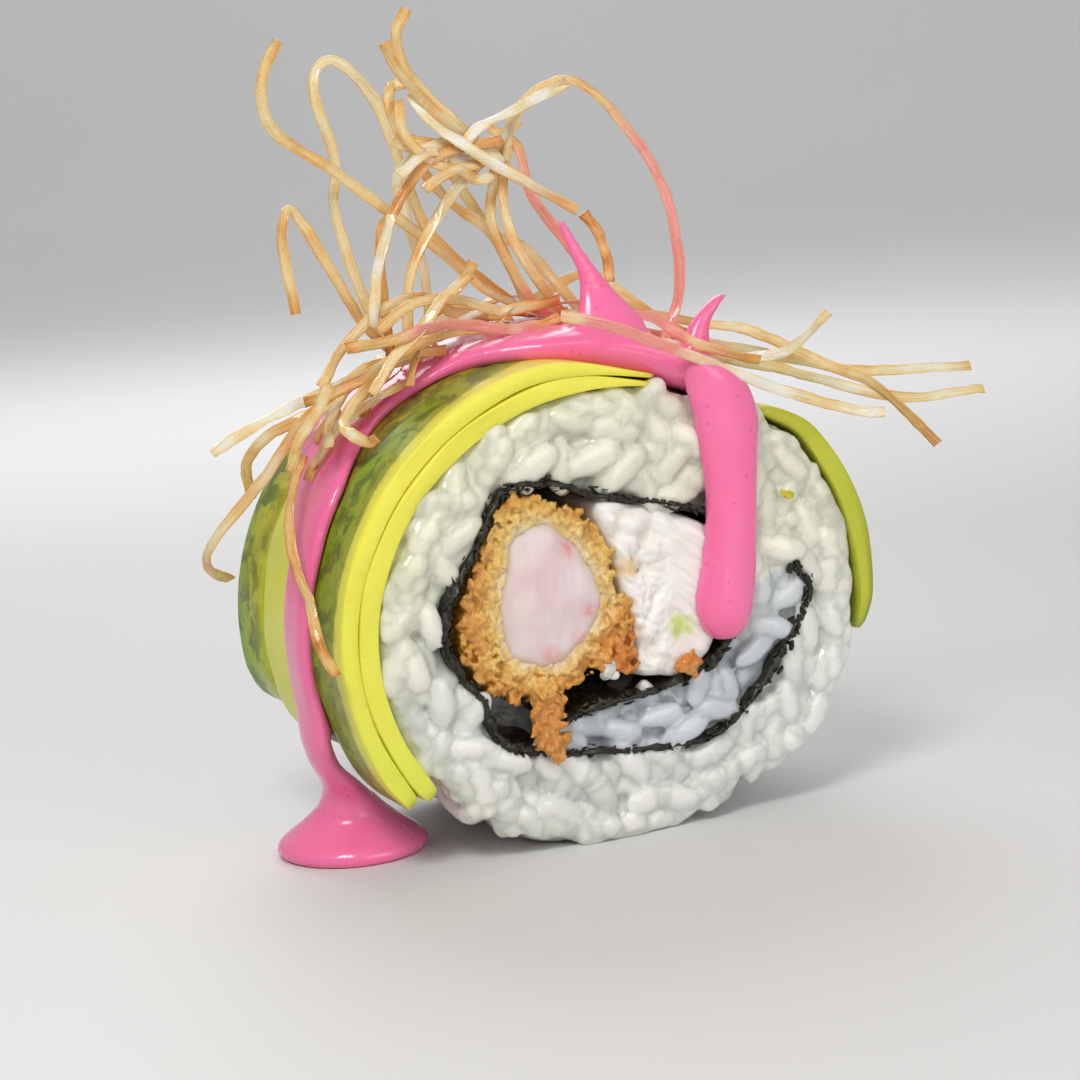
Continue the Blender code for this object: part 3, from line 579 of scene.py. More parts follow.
# Painted warm light yellows the upper rice, together with the yellow tint beside the avocado
colour = blend(tree, kept(tree, "warm_light_and_avocado_tint"), colour, (1.0, 0.98, 0.80), "MULTIPLY")
# Painted shade: points sunk below the surface are darkened
colour = blend(tree, kept(tree, "sunk_shade"), colour, (0.74, 0.77, 0.75), "MULTIPLY")
tree.links.new(colour, shader.inputs["Base Color"])
settle(rice, look, "rice", "rice")

# Nori
# One sheet of dried seaweed, rolled round the filling for a turn and a half. It has gone
# soft and wrinkled in the moist rice, and its cut edge is torn a little.
NORI_THICKNESS = 0.36
SHEET_STEPS, SHEET_RINGS = 16, 41
SHEET_LINE = smooth_line(NORI_ROUTE, SHEET_STEPS)


def between_rings(count, width):
    """Faces of a skin through a count of rings, all with the same number of points."""
    return [(k * width + i, k * width + (i + 1) % width, (k + 1) * width + (i + 1) % width,
             (k + 1) * width + i) for k in range(count - 1) for i in range(width)]


def nori_skin():
    """Rings round the whole sheet, from its front edge to its back one, torn at both."""
    rings = []
    count = len(SHEET_LINE)
    for k in range(SHEET_RINGS):
        t = 2 * k / (SHEET_RINGS - 1) - 1
        y = (FACE + 0.2) * (1.5 * t - 0.5 * t ** 3)
        sides = [], []
        for i, point in enumerate(SHEET_LINE):
            ahead = SHEET_LINE[min(i + 1, count - 1)] - SHEET_LINE[max(i - 1, 0)]
            across = Vector((ahead.y, -ahead.x)).normalized()
            wave = 0.18 * math.sin(2.7 * i / SHEET_STEPS + 0.35 * max(-FACE, min(FACE, y)))
            wave += 0.30 * noise.noise(Vector((i * 0.11, y * 0.28, 4.0)))
            wave += 0.20 * noise.noise(Vector((i * 0.35, y * 0.9, 9.0)))
            edge = max(0.0, min(1.0, (abs(y) - 10) / 3))
            ragged = 0.5 * max(0.0, noise.noise(Vector((i * 0.16, y * 0.6, 2.0)))) \
                + 0.3 * max(0.0, noise.noise(Vector((i * 0.55, y * 1.6, 6.0))))
            half = NORI_THICKNESS / 2 + edge * ragged
            for side, row in ((1, sides[0]), (-1, sides[1])):
                torn = 0.0
                if abs(t) > 0.9:
                    torn = 0.45 * noise.noise(Vector((i * 0.25, 7.0 * t, 0))) \
                        + 0.5 * noise.noise(Vector((i * 0.8, 3.0 * t, side)))
                place = point + across * (wave + side * half)
                row.append(Vector((place.x, y + torn, place.y)))
        rings.append(sides[0] + sides[1][::-1])
    return rings


rings = nori_skin()
width = len(rings[0])
faces = between_rings(len(rings), width)
for first in (0, (len(rings) - 1) * width):
    faces += [(first + i, first + i + 1, first + width - 2 - i, first + width - 1 - i)
              for i in range(width // 2 - 1)]
nori = face_outward(shape_of("nori_sheet", [point for ring in rings for point in ring], faces))
look, tree, shader, place, surface = new_look(
    "damp seaweed", patch=420, fine=2300, smoothest=0.2, roughest=0.6, depth=0.2,
    Coat_Weight=0.2, Coat_Roughness=0.15)
colour = ramp(tree, surface["Fine"], (0.0, (0.006, 0.006, 0.003)),
              (0.55, (0.016, 0.014, 0.005)), (0.8, (0.05, 0.055, 0.015)), (1.0, (0.16, 0.16, 0.06)))
colour = blend(tree, surface["Patch"], colour, (0.012, 0.010, 0.005))
tree.links.new(colour, shader.inputs["Base Color"])
settle(nori, look, "nori", "nori")
rng = random.Random(33)
shreds = []
for i in range(len(NORI_LINE) - 1):
    along = NORI_LINE[i + 1] - NORI_LINE[i]
    step = Vector((along.x, 0, along.y)).normalized()
    across = Vector((-along.y, 0, along.x)).normalized()
    for side in (-1, -1, 1):
        place = Vector((NORI_LINE[i].x, side * (FACE + rng.uniform(-0.3, 0.3)), NORI_LINE[i].y))
        place += step * rng.uniform(-0.4, 0.4) + across * rng.gauss(0, 0.3)
        turn = step + Vector((0, rng.gauss(0, 0.5), 0)) + across * rng.gauss(0, 0.5)
        outward = across + Vector((0, rng.gauss(0, 0.4), 0))
        shreds.append((place, turn.normalized(), outward.normalized(), rng.uniform(0.4, 1.1),
                       rng.random()))
shreds = lay("nori_shreds", shreds, {
    "Segments": 6, "Rings": 4, "Length": 0.6, "Width": 0.4, "Thickness": 0.1,
    "Unevenness": 0.8, "Uneven Scale": 1700.0, "Seed": 1.7}, look)
settle(shreds, look, "nori", "nori")

# Shrimp
# A peeled shrimp, cooked inside its coating and cut across. Its moist flesh swells a
# little out of the cut, white with a red blush where the skin was.
SHRIMP_OUTLINE = [
    (-8.2, 32.2), (-5.0, 30.6), (-2.6, 27.0), (-1.6, 23.4), (-3.6, 20.1), (-7.6, 18.2),
    (-11.4, 19.8), (-12.2, 23.2), (-11.2, 28.6), (-10.2, 31.2)]
FLESH_MIDDLE = (-7.0, 24.6)
FLESH_DIRECTIONS = 96
WALL_RINGS = 15
ROUNDED_FROM = 0.8
# x, z and size of the red spots
BLUSHES = [(-4.6, 29.2, 1.0), (-2.9, 22.8, 0.8), (-4.2, 20.4, 0.7), (-7.4, 19.2, 0.8)]


def reaches(outline, middle, count):
    """Distance from a middle to a closed outline, in evenly spaced directions."""
    found = []
    for k in range(count):
        turn = math.tau * k / count
        out = Vector((math.cos(turn), math.sin(turn)))
        best = 0.0
        for i, end in enumerate(outline):
            start = outline[i - 1] - Vector(middle)
            side = (end - Vector(middle)) - start
            cross = out.x * side.y - out.y * side.x
            if abs(cross) > 1e-9:
                far = (start.x * side.y - start.y * side.x) / cross
                share = (start.x * out.y - start.y * out.x) / cross
                if far > 0 and -1e-6 <= share <= 1 + 1e-6:
                    best = max(best, far)
        found.append(best)
    return found


def cut_block(name, middle, reach, half_length, relief, swell, steps=22, rounding=0.8):
    """Closed block along Y with rounded rims; relief gives each cut face its height."""
    count = len(reach)
    points, rings = [], []

    def ring(scale_of, y_of):
        row = []
        for k in range(count):
            turn = math.tau * k / count
            far = scale_of(k)
            x, z = middle[0] + far * math.cos(turn), middle[1] + far * math.sin(turn)
            row.append(len(points))
            points.append((x, y_of(x, z, far / max(reach[k], 0.01)), z))
        rings.append(row)

    for side in (-1, 1):
        shares = [s / steps for s in (range(1, steps) if side < 0 else range(steps - 1, 0, -1))]
        if side < 0:
            start = len(points)
            points.append((middle[0], -half_length - relief(*middle, -1), middle[1]))
        for s in shares:
            ring(lambda k: reach[k] * s,
                 lambda x, z, share: side * (half_length + relief(x, z, side) - rounding * (
                     max(0, share - ROUNDED_FROM) / (1 - ROUNDED_FROM)) ** 2))
        if side < 0:
            for j in range(WALL_RINGS):
                y = (half_length - rounding) * (2 * j / (WALL_RINGS - 1) - 1)
                ring(lambda k: reach[k] + swell * max(0, 1 - (y / (half_length - 2)) ** 2),
                     lambda x, z, share: y)
    end = len(points)
    points.append((middle[0], half_length + relief(*middle, 1), middle[1]))
    faces = [(start, rings[0][k - 1], rings[0][k]) for k in range(count)]
    for lower, upper in zip(rings, rings[1:]):
        faces += [(lower[k - 1], upper[k - 1], upper[k], lower[k]) for k in range(count)]
    faces += [(end, rings[-1][k], rings[-1][k - 1]) for k in range(count)]
    return face_outward(shape_of(name, points, faces))


def flesh_relief(x, z, side):
    """A soft dome with a shallow waviness."""
    far = math.hypot(x - FLESH_MIDDLE[0], (z - FLESH_MIDDLE[1]) * 0.75)
    fibres = 0.12 * noise.noise(Vector((x * 1.2, z * 0.35, side + 4)))
    return 0.4 - 0.014 * far ** 2 + 0.25 * noise.noise(Vector((x * 0.35, z * 0.3, side))) + fibres


flesh_line = smooth_line(SHRIMP_OUTLINE, 8, closed=True)
flesh_reach = []
for k, reach in enumerate(reaches(flesh_line, FLESH_MIDDLE, FLESH_DIRECTIONS)):
    turn = math.tau * k / FLESH_DIRECTIONS
    uneven = noise.noise(Vector((3 * math.cos(turn), 3 * math.sin(turn), 0)))
    flesh_reach.append(reach + 0.3 + 0.5 * uneven)
shrimp = cut_block("shrimp_flesh", FLESH_MIDDLE, flesh_reach, FACE, flesh_relief, swell=0.0,
                   rounding=0.4)
places = positions(shrimp)
away = places[:, [0, 2]] - FLESH_MIDDLE
turns = np.arctan2(away[:, 1], away[:, 0]) % math.tau / math.tau * FLESH_DIRECTIONS
to_rim = np.interp(turns, range(FLESH_DIRECTIONS + 1), [*flesh_reach, flesh_reach[0]])
mark(shrimp, "rim", np.clip((np.hypot(*away.T) - to_rim) / 1.4 + 1, 0, 1))
blush = np.zeros(len(places))
for x, z, size in BLUSHES:
    blush += np.exp(-((places[:, 0] - x) ** 2 + (places[:, 2] - z) ** 2) / size ** 2)
mark(shrimp, "blush", np.clip(blush, 0, 1))
look, tree, shader, place, surface = new_look(
    "cooked shrimp", patch=240, fine=1500, smoothest=0.26, roughest=0.42, depth=0.05,
    Subsurface_Weight=0.6, Subsurface_Scale=0.003, Subsurface_Radius=(1.0, 0.55, 0.5),
    Coat_Weight=0.25, Coat_Roughness=0.15)
colour = blend(tree, surface["Patch"], (0.76, 0.57, 0.59), (0.84, 0.71, 0.73))
tinted = calc(tree, "MULTIPLY", kept(tree, "rim"), 0.75)
colour = blend(tree, tinted, colour, (0.84, 0.58, 0.38))
streak = calc(tree, "MULTIPLY", kept(tree, "blush"), surface["Fine"])
colour = blend(tree, streak, colour, (0.86, 0.20, 0.17))
tree.links.new(colour, shader.inputs["Base Color"])
settle(shrimp, look, "shrimp", "shrimp")

# Crumb coat
# Batter rolled in coarse breadcrumbs and fried: a pale ring of batter next to the flesh,
# golden crumbs round it, a strip of them to the cheese and some spilled in front.
COAT_OUTLINE = [
    (-9.6, 34.6), (-5.7, 33.4), (-2.6, 31.6), (-0.3, 27.8), (-0.4, 24.2), (1.0, 23.6),
    (1.5, 19.6), (1.2, 16.4), (-2.6, 17.2), (-5.2, 16.0), (-8.8, 15.2), (-13.6, 16.6),
    (-16.4, 21.4), (-15.2, 26.6), (-13.4, 30.4), (-11.2, 33.6)]
CRUMB_DROP = [(-9.2, 16.4), (-8.6, 14.4), (-8.9, 12.6), (-8.2, 10.8)]
BATTER = 1.35
COAT_DIRECTIONS, CRAGGY_SEED = 144, 8


def coat_base(inner, outer):
    """Closed ring along Y whose cut faces carry the batter and the bed of the crumbs."""
    count, steps = len(inner), 12
    loops = []

    def profile(k):
        wide = outer[k] - inner[k]
        rim = BATTER * (1 + 0.5 * noise.noise(Vector((k * 0.16, 0, 1))))
        section = []
        for side in (-1, 1):
            order = range(steps + 1) if side < 0 else range(steps, -1, -1)
            for s in order:
                out = wide * s / steps
                lift = 0.5 * math.exp(-((out - 0.4 * rim) / (0.6 * rim)) ** 2)
                section.append((out, side * (FACE - 0.55 + lift)))
            if side < 0:
                section += [(wide + grown, y) for grown, y in (
                    (0.5, -9.0), (1.0, -4.5), (1.2, 0.0), (1.0, 4.5), (0.5, 9.0))]
        return section

    for k in range(count):
        turn = math.tau * k / count
        for out, y in profile(k):
            far = inner[k] + out
            loops.append((FLESH_MIDDLE[0] + far * math.cos(turn), y,
                          FLESH_MIDDLE[1] + far * math.sin(turn)))
    size = len(loops) // count
    faces = [((k - 1) % count * size + i, (k - 1) % count * size + (i + 1) % size,
              k * size + (i + 1) % size, k * size + i) for k in range(count) for i in range(size)]
    return face_outward(shape_of("batter_ring", loops, faces))


inner = [reach - 0.35 + 0.55 * noise.noise(Vector((k * 0.13, 0, 4)))
         for k, reach in enumerate(reaches(flesh_line, FLESH_MIDDLE, COAT_DIRECTIONS))]
coat_line = smooth_line(COAT_OUTLINE, 4, closed=True)
outer = [reach - 0.2 for reach in reaches(coat_line, FLESH_MIDDLE, COAT_DIRECTIONS)]
base = coat_base(inner, outer)
rng = random.Random(5)


def crumb_place(rng):
    """Random place among the crumbs of one cut face."""
    k = rng.randrange(COAT_DIRECTIONS)
    turn = math.tau * (k + rng.random()) / COAT_DIRECTIONS
    low, high = inner[k] + BATTER * 0.85, outer[k] + 0.35
    if high < low:
        return None
    far = math.sqrt(rng.uniform(low ** 2, high ** 2))
    return Vector((FLESH_MIDDLE[0] + far * math.cos(turn), 0,
                   FLESH_MIDDLE[1] + far * math.sin(turn)))


def crumb_mark(rng, place, outward, size):
    """A crumb at a place, turned any way, browner where it lies low on the coat."""
    along = Vector((rng.gauss(0, 1), rng.gauss(0, 1), rng.gauss(0, 1))).normalized()
    low = max(0.0, min(1.0, (24 - place.z) / 14))
    toast = min(1.0, max(0.0, 0.35 + 0.25 * low + rng.gauss(0, 0.2)))
    return place, along, outward, size, toast


crumbs = []
for side in (-1, 1):
    for spacing, low, high, sink in ((1.0, 0.75, 1.25, 0.35), (0.62, 0.4, 0.75, -0.1)):
        for place in spread(rng, crumb_place, spacing, 5000):
            place.y = side * (FACE - sink + rng.uniform(-0.35, 0.25))
            crumbs.append(crumb_mark(rng, place, Vector((0, side, 0)), rng.uniform(low, high)))
for x, z in [*CRUMB_DROP, (6.9, 16.3)]:
    loose = 0.75 if z < 16 or x < 0 else 0.42
    for _ in range(34):
        place = Vector((x + rng.gauss(0, loose), -FACE - 0.7 - abs(rng.gauss(0, 0.45)),
                        z + rng.gauss(0, loose)))
        crumbs.append(crumb_mark(rng, place, Vector((0, -1, 0)), rng.uniform(0.5, 1.1)))
crumb_lumps = lay("crumb_lumps", crumbs, {
    "Segments": 6, "Rings": 5, "Length": 0.85, "Width": 0.52, "Thickness": 0.34,
    "Unevenness": 0.7, "Uneven Scale": 1300.0, "Seed": 8.3})
crust = fused("fried_crust", [base, crumb_lumps], voxel=0.215, melting=0)
places = positions(crust)
# Vector noise is drawn anew in each run unless it has a seed
noise.seed_set(CRAGGY_SEED)
craggy = np.array([noise.noise_vector(Vector(place) * 2.1) * 0.22
                   + noise.noise_vector(Vector(place) * 4.3) * 0.12 for place in places])
reshape(crust, places + craggy)
places = positions(crust)
from_flesh = []
for x, y, z in places:
    turn = math.atan2(z - FLESH_MIDDLE[1], x - FLESH_MIDDLE[0]) % math.tau
    far = math.hypot(x - FLESH_MIDDLE[0], z - FLESH_MIDDLE[1])
    from_flesh.append(far - inner[int(turn / math.tau * COAT_DIRECTIONS) % COAT_DIRECTIONS])
from_flesh = np.array(from_flesh)
mark(crust, "baked", np.clip((from_flesh - 0.5) / 3.2, 0, 1))
low = np.clip((23 - places[:, 2]) / 12 + (places[:, 0] + 5) / 16, 0, 1)
mark(crust, "low", np.where((places[:, 1] < -FACE - 0.4) & (places[:, 2] < 16.5), 0.3, low))
# The hollows between the crumbs are marked for painted shade
mark(crust, "hollow_shade", hollows(crust, 3))
look, tree, shader, place, surface = new_look(
    "fried crumbs", patch=620, fine=3400, smoothest=0.18, roughest=0.5, depth=0.16,
    Subsurface_Weight=0.45, Subsurface_Scale=0.0015, Subsurface_Radius=(1.0, 0.6, 0.25),
    Coat_Weight=0.4, Coat_Roughness=0.14)
patchy = calc(tree, "MULTIPLY_ADD", surface["Patch"], 0.5, kept(tree, "baked"))
toast = calc(tree, "SUBTRACT", patchy, 0.22)
golden = ramp(tree, toast, (0.0, (0.92, 0.72, 0.46)), (0.2, (0.90, 0.66, 0.26)),
              (0.55, (0.84, 0.52, 0.13)), (1.0, (0.70, 0.33, 0.06)))
deeper = ramp(tree, toast, (0.0, (0.92, 0.68, 0.44)), (0.2, (0.90, 0.58, 0.26)),
              (0.55, (0.84, 0.40, 0.10)), (1.0, (0.70, 0.22, 0.03)))
colour = blend(tree, kept(tree, "low"), golden, deeper)
colour = blend(tree, surface["Fine"], colour, (1.0, 0.93, 0.78), "MULTIPLY")
# Painted shade: the hollows are darkened to a dark brown
sunk_shade = calc(tree, "MULTIPLY", kept(tree, "hollow_shade"), 0.8)
colour = blend(tree, sunk_shade, colour, (0.56, 0.24, 0.06))
tree.links.new(colour, shader.inputs["Base Color"])
settle(crust, look, "crumb_coat", "crumb_coat")

# Cream cheese
# A soft block of fresh cheese, laid in by hand. Cutting left it curdled on the left and
# smeared in slanting streaks by the knife on the right.
CHEESE_OUTLINE = [
    (-1.6, 32.9), (3.2, 32.3), (6.6, 31.0), (10.9, 28.8), (11.9, 23.5), (10.2, 17.4),
    (7.1, 15.0), (4.6, 15.2), (1.9, 15.9), (2.0, 18.6), (1.0, 23.0), (0.0, 27.4)]
CHEESE_MIDDLE = (6.0, 23.4)
# x, z, width and height of the coloured spots
LIME_SPOTS = [(6.7, 19.9, 1.1, 0.8), (6.0, 20.6, 0.7, 0.5)]
OILY_SPOTS = [(1.2, 26.6, 1.0, 0.8), (0.6, 20.0, 0.9, 2.6), (6.6, 15.6, 1.0, 0.7)]
STREAK_LEAN = 0.7


def cheese_relief(x, z, side):
    """Curds on the left and slanting knife streaks on the right."""
    far = noise.voronoi(Vector((x / 2.1, z / 1.9, 3.0 * side)))[0][0]
    curds = 0.95 * max(0.0, 1 - (far / 0.8) ** 2) \
        + 0.35 * noise.noise(Vector((x * 1.7, z * 1.7, side)))
    across = x * math.sin(STREAK_LEAN) + z * math.cos(STREAK_LEAN)
    along = x * math.cos(STREAK_LEAN) - z * math.sin(STREAK_LEAN)
    streaks = 0.22 * noise.noise(Vector((across * 1.5, along * 0.22, side))) \
        + 0.12 * noise.noise(Vector((across * 3.4, along * 0.5, side)))
    share = min(1.0, max(0.0, (x - 3.6) / 3.0))
    return 0.15 + curds * (1 - share) + (0.35 + streaks) * share


cheese_line = smooth_line(CHEESE_OUTLINE, 6, closed=True)
cheese = cut_block("cheese_block", CHEESE_MIDDLE, reaches(cheese_line, CHEESE_MIDDLE, 150),
                   FACE - 0.1, cheese_relief, swell=1.1, steps=46, rounding=0.9)
# The hollows between curds and streaks are marked for painted shade
mark(cheese, "hollow_shade", hollows(cheese, 4))
look, tree, shader, place, surface = new_look(
    "fresh cheese", patch=500, fine=2200, smoothest=0.34, roughest=0.6, depth=0.09,
    Subsurface_Weight=0.4, Subsurface_Scale=0.0016, Subsurface_Radius=(1.0, 0.9, 0.75),
    Coat_Weight=0.1, Coat_Roughness=0.3)
colour = blend(tree, surface["Patch"], (0.93, 0.89, 0.83), (0.97, 0.95, 0.91))
# Painted shade darkens the hollows to a warm tan
colour = blend(tree, kept(tree, "hollow_shade"), colour, (0.80, 0.72, 0.60))
colour = blend(tree, kept(tree, "lime"), colour, (0.55, 0.72, 0.10))
colour = blend(tree, kept(tree, "oily"), colour, (0.86, 0.62, 0.30))
tree.links.new(colour, shader.inputs["Base Color"])
places = positions(cheese)
ragged = np.array([noise.noise(Vector(place) * 1.1) for place in places])
for label, spots in (("lime", LIME_SPOTS), ("oily", OILY_SPOTS)):
    near = np.zeros(len(places))
    for x, z, wide, tall in spots:
        away = np.hypot((places[:, 0] - x) / wide, (places[:, 2] - z) / tall)
        near = np.maximum(near, 1.6 - away + 0.9 * ragged)
    mark(cheese, label, np.clip(near, 0, 1) * (places[:, 1] < -10) * 0.8)
settle(cheese, look, "cream_cheese", "cream_cheese")
rng = random.Random(4)
bits = [(Vector((-1.1 + rng.gauss(0, 0.45), rng.uniform(-0.3, 0.3) - FACE,
                 16.7 + rng.gauss(0, 0.3))),
         Vector((rng.gauss(0, 1), 0.2, rng.gauss(0, 1))).normalized(), Vector((0, -1, 0)),
         rng.uniform(0.6, 1.1), rng.random()) for _ in range(7)]
bits = lay("cheese_bits", bits, {
    "Segments": 10, "Rings": 7, "Length": 0.8, "Width": 0.6, "Thickness": 0.5,
    "Unevenness": 0.4, "Uneven Scale": 900.0, "Seed": 2.2}, look)
settle(bits, look, "cream_cheese", "cream_cheese")

# Avocado
# Six thin slices of ripe avocado, laid over the rice and bent round it: yellow where the
# flesh was cut, then lime, and olive to dark green where the skin was peeled off.
# First and last angle, front and back y, rise of the inner and of the outer side
AVOCADO_SLICES = {
    "avocado_front_inner": (76, 219, -14.0, -6.6, 0.2, 2.3),
    "avocado_front_outer": (76, 217, -14.0, -6.0, 2.2, 4.1),
    "avocado_middle": (78, 204, -5.9, 7.3, 0.2, 4.1),
    "avocado_back": (78, 199, 7.2, 14.0, 0.2, 4.1),
    "avocado_right_front": (-12, 48, -14.0, -1.1, 0.2, 2.4),
    "avocado_right_back": (-20, 48, -1.0, 14.0, 0.2, 2.6)}
# Angle, and where green begins there as a share of the width of the front slices
GREEN_FROM = [
    (76, 1.2), (98, 1.0), (106, 0.55), (116, 0.38), (128, 0.32), (143, 0.27), (156, 0.25),
    (172, 0.3), (190, 0.3), (215, 0.24)]
LEFT_TOP, HUG_OVER = 76, 34
SLICE_SIDES = 32
THIN_OVER, BLUNT_OVER = 22, 8


def hugged(angle):
    """How far the slices on the left stand off the rice: less towards their top ends."""
    return 0.42 + 0.58 * eased(min(1.0, max(0.0, (angle - LEFT_TOP) / HUG_OVER)))


def squarish(turn, wide_power, tall_power):
    """Point of a section between an oval and a box, each way from -1 to 1."""
    wide, tall = math.cos(turn), math.sin(turn)
    return (math.copysign(abs(wide) ** wide_power, wide),
            math.copysign(abs(tall) ** tall_power, tall))


def slice_rings(first, last, front, back, inner_rise, outer_rise, seed):
    """Rings of a slice with rounded edges, thin at its top end and blunt at its low end."""
    count = round((last - first) / 1.6)
    on_left = first >= LEFT_TOP
    rings, across, down, outer = [], [], [], []
    for i in range(count + 1):
        angle = first + (last - first) * i / count
        top = min(1.0, (angle - first) / THIN_OVER)
        low = min(1.0, (last - angle) / (BLUNT_OVER if on_left else THIN_OVER))
        full = min(0.3 + 0.7 * math.sqrt(top), 0.55 + 0.45 * math.sqrt(low))
        pull = 1.4 * (1 - math.sqrt(min(1, 3 * min(top, low))))
        middle = inner_rise + (outer_rise - inner_rise) * 0.5
        under = middle + (inner_rise - middle) * full
        over = middle + (outer_rise - middle) * full
        if on_left:
            under, over = under * hugged(angle), over * hugged(angle)
        ring = []
        for k in range(SLICE_SIDES):
            turn = math.tau * k / SLICE_SIDES
            wide, tall = squarish(turn, 0.18, 0.22)
            y = (front + back) / 2 + wide * ((back - front) / 2 - pull)
            wave = 0.3 * noise.noise(Vector((angle * 0.06, y * 0.25, seed))) if tall > 0 else 0
            y += 0.3 * noise.noise(Vector((angle * 0.06, turn, seed + 5))) * abs(wide)
            ring.append(on_rice(angle, (under + over) / 2 + tall * (over - under) / 2 + wave, y))
            across.append((y - front) / (back - front))
            down.append(i / count)
            outer.append((tall + 1) / 2)
        rings.append(ring)
    return rings, np.array(across), np.array(down), np.array(outer)


def closed_rings(name, rings, **attributes):
    """Closed skin through rings of equal counts, its two ends filled."""
    width = len(rings[0])
    points = [point for ring in rings for point in ring]
    faces = between_rings(len(rings), width)
    faces += [tuple(range(width))[::-1], tuple(range(len(points) - width, len(points)))]
    return face_outward(shape_of(name, points, faces, **attributes))


def avocado_look(name, stops, low, dark, mottle, spots_from=0.46):
    """Material of one slice: colours from front to back, a low end, dark patches of skin."""
    look, tree, shader, place, surface = new_look(
        name, patch=190, fine=1300, smoothest=0.26, roughest=0.46, depth=0.1,
        Subsurface_Weight=0.2, Subsurface_Scale=0.0012, Subsurface_Radius=(0.9, 1.0, 0.25),
        Coat_Weight=0.12, Coat_Roughness=0.12, Specular_IOR_Level=0.3)
    drift = calc(tree, "MULTIPLY_ADD", surface["Patch"], 0.04, kept(tree, "across"))
    colour = ramp(tree, drift, *stops)
    lower = spanned(tree, kept(tree, "down"), 0.5, 1.0, 0.0, 0.8)
    colour = blend(tree, lower, colour, blend(tree, 1.0, colour, low, "MULTIPLY"))
    patches = put(tree, "ShaderNodeTexNoise", {
        "Vector": place, "Scale": 360.0, "Detail": 6.0, "Roughness": 0.62, "Distortion": 0.6})
    spots = spanned(tree, patches.outputs["Fac"], spots_from, spots_from + 0.1, 0.0, mottle)
    colour = blend(tree, calc(tree, "MULTIPLY", spots, kept(tree, "skin")), colour, dark)
    tree.links.new(colour, shader.inputs["Base Color"])
    return look


YELLOW, LIME, PALE = (0.90, 0.84, 0.095), (0.46, 0.54, 0.05), (0.80, 0.79, 0.10)
OLIVE, GREEN, DARK = (0.40, 0.30, 0.03), (0.25, 0.40, 0.012), (0.09, 0.14, 0.006)
front = avocado_look("avocado front", [
    (0.0, YELLOW), (0.3, (0.84, 0.77, 0.08)), (0.34, LIME), (0.365, (0.37, 0.40, 0.015)),
    (1.0, GREEN)], (0.86, 1.0, 1.0), DARK, 0.8)
middle = avocado_look("avocado flesh", [
    (0.0, OLIVE), (0.2, (0.40, 0.38, 0.04)), (0.34, PALE), (1.0, (0.76, 0.77, 0.10))],
    (0.95, 1.0, 1.0), (0.13, 0.15, 0.02), 0.85)
back = avocado_look("avocado rind side", [
    (0.0, (0.66, 0.56, 0.05)), (0.45, (0.56, 0.50, 0.03)), (0.8, (0.38, 0.43, 0.02)),
    (1.0, GREEN)], (0.55, 0.95, 0.6), DARK, 0.85)
right = avocado_look("avocado right", [
    (0.0, (0.52, 0.56, 0.045)), (0.1, (0.48, 0.52, 0.05)), (0.3, (0.38, 0.46, 0.04)),
    (1.0, GREEN)], (1.2, 1.15, 1.0), (0.09, 0.20, 0.01), 0.9, spots_from=0.25)
AVOCADO_LOOKS = {
    "avocado_front_inner": front, "avocado_front_outer": front, "avocado_middle": middle,
    "avocado_back": back, "avocado_right_front": right, "avocado_right_back": right}
for seed, (name, sizes) in enumerate(AVOCADO_SLICES.items()):
    rings, across, down, outer = slice_rings(*sizes, seed * 3.7)
    look = AVOCADO_LOOKS[name]
    if look is front:
        angles = sizes[0] + down * (sizes[1] - sizes[0])
        across = across * 0.36 / np.interp(angles, *zip(*GREEN_FROM))
        skin = (across - 0.33) * 12
    elif look is middle:
        skin = (0.3 - across) * 8
    elif look is back:
        skin = across * 5
    else:
        skin = outer * 2.4 - 1.2 - 1.3 * down
    skin = np.clip(skin, 0, 1)
    slice_piece = closed_rings(name + "_slice", rings, across=across, skin=skin, down=down)
    settle(slice_piece, look, "avocado", name)
rng = random.Random(12)
flecks = [(Vector((19.2 + rng.gauss(0, 0.5), -FACE - 0.75 - 0.2 * rng.random(),
                   31.4 - rng.gauss(0, 0.25))),
           Vector((1, 0, -0.5 + rng.gauss(0, 0.4))).normalized(), Vector((0, -1, 0)),
           rng.uniform(0.6, 1.1), 0.5) for _ in range(5)]
flecks = lay("avocado_flecks", flecks, {
    "Segments": 8, "Rings": 6, "Length": 0.5, "Width": 0.25, "Thickness": 0.15,
    "Unevenness": 0.3, "Uneven Scale": 1500.0, "Seed": 5.0}, back)
settle(flecks, back, "avocado", "avocado_right_front")

# Sauce
# Thick pink sauce, poured over the top: it lies as a coat, hangs in a round-tipped drip
# down the cut face and runs down the left side into a puddle.
# Angle, front and back y, low and high rise
SAUCE_COAT = [
    (50, -9.0, 2.0, 0.5, 1.7), (54, -12.6, 4.6, 0.3, 2.3), (60, -14.2, 6.6, 0.3, 3.0),
    (66, -14.2, 8.0, 0.3, 4.0), (71, -13.8, 8.6, 0.3, 4.8), (74, -13.2, 9.0, 0.4, 5.4),
    (86, -12.0, 9.4, 1.2, 5.8), (98, -9.6, 9.4, 2.6, 5.8), (110, -5.6, 9.0, 3.7, 5.8),
    (122, -3.5, 8.8, 3.9, 5.6), (134, -3.6, 8.6, 3.9, 5.5), (146, -6.2, 5.0, 3.9, 5.4),
    (157, -6.9, 0.6, 3.9, 5.3), (167, -7.2, -1.2, 3.9, 5.3), (178, -7.1, -1.2, 3.9, 5.3),
    (190, -6.8, -1.2, 3.9, 5.4), (199, -6.6, -1.4, 3.9, 5.8)]
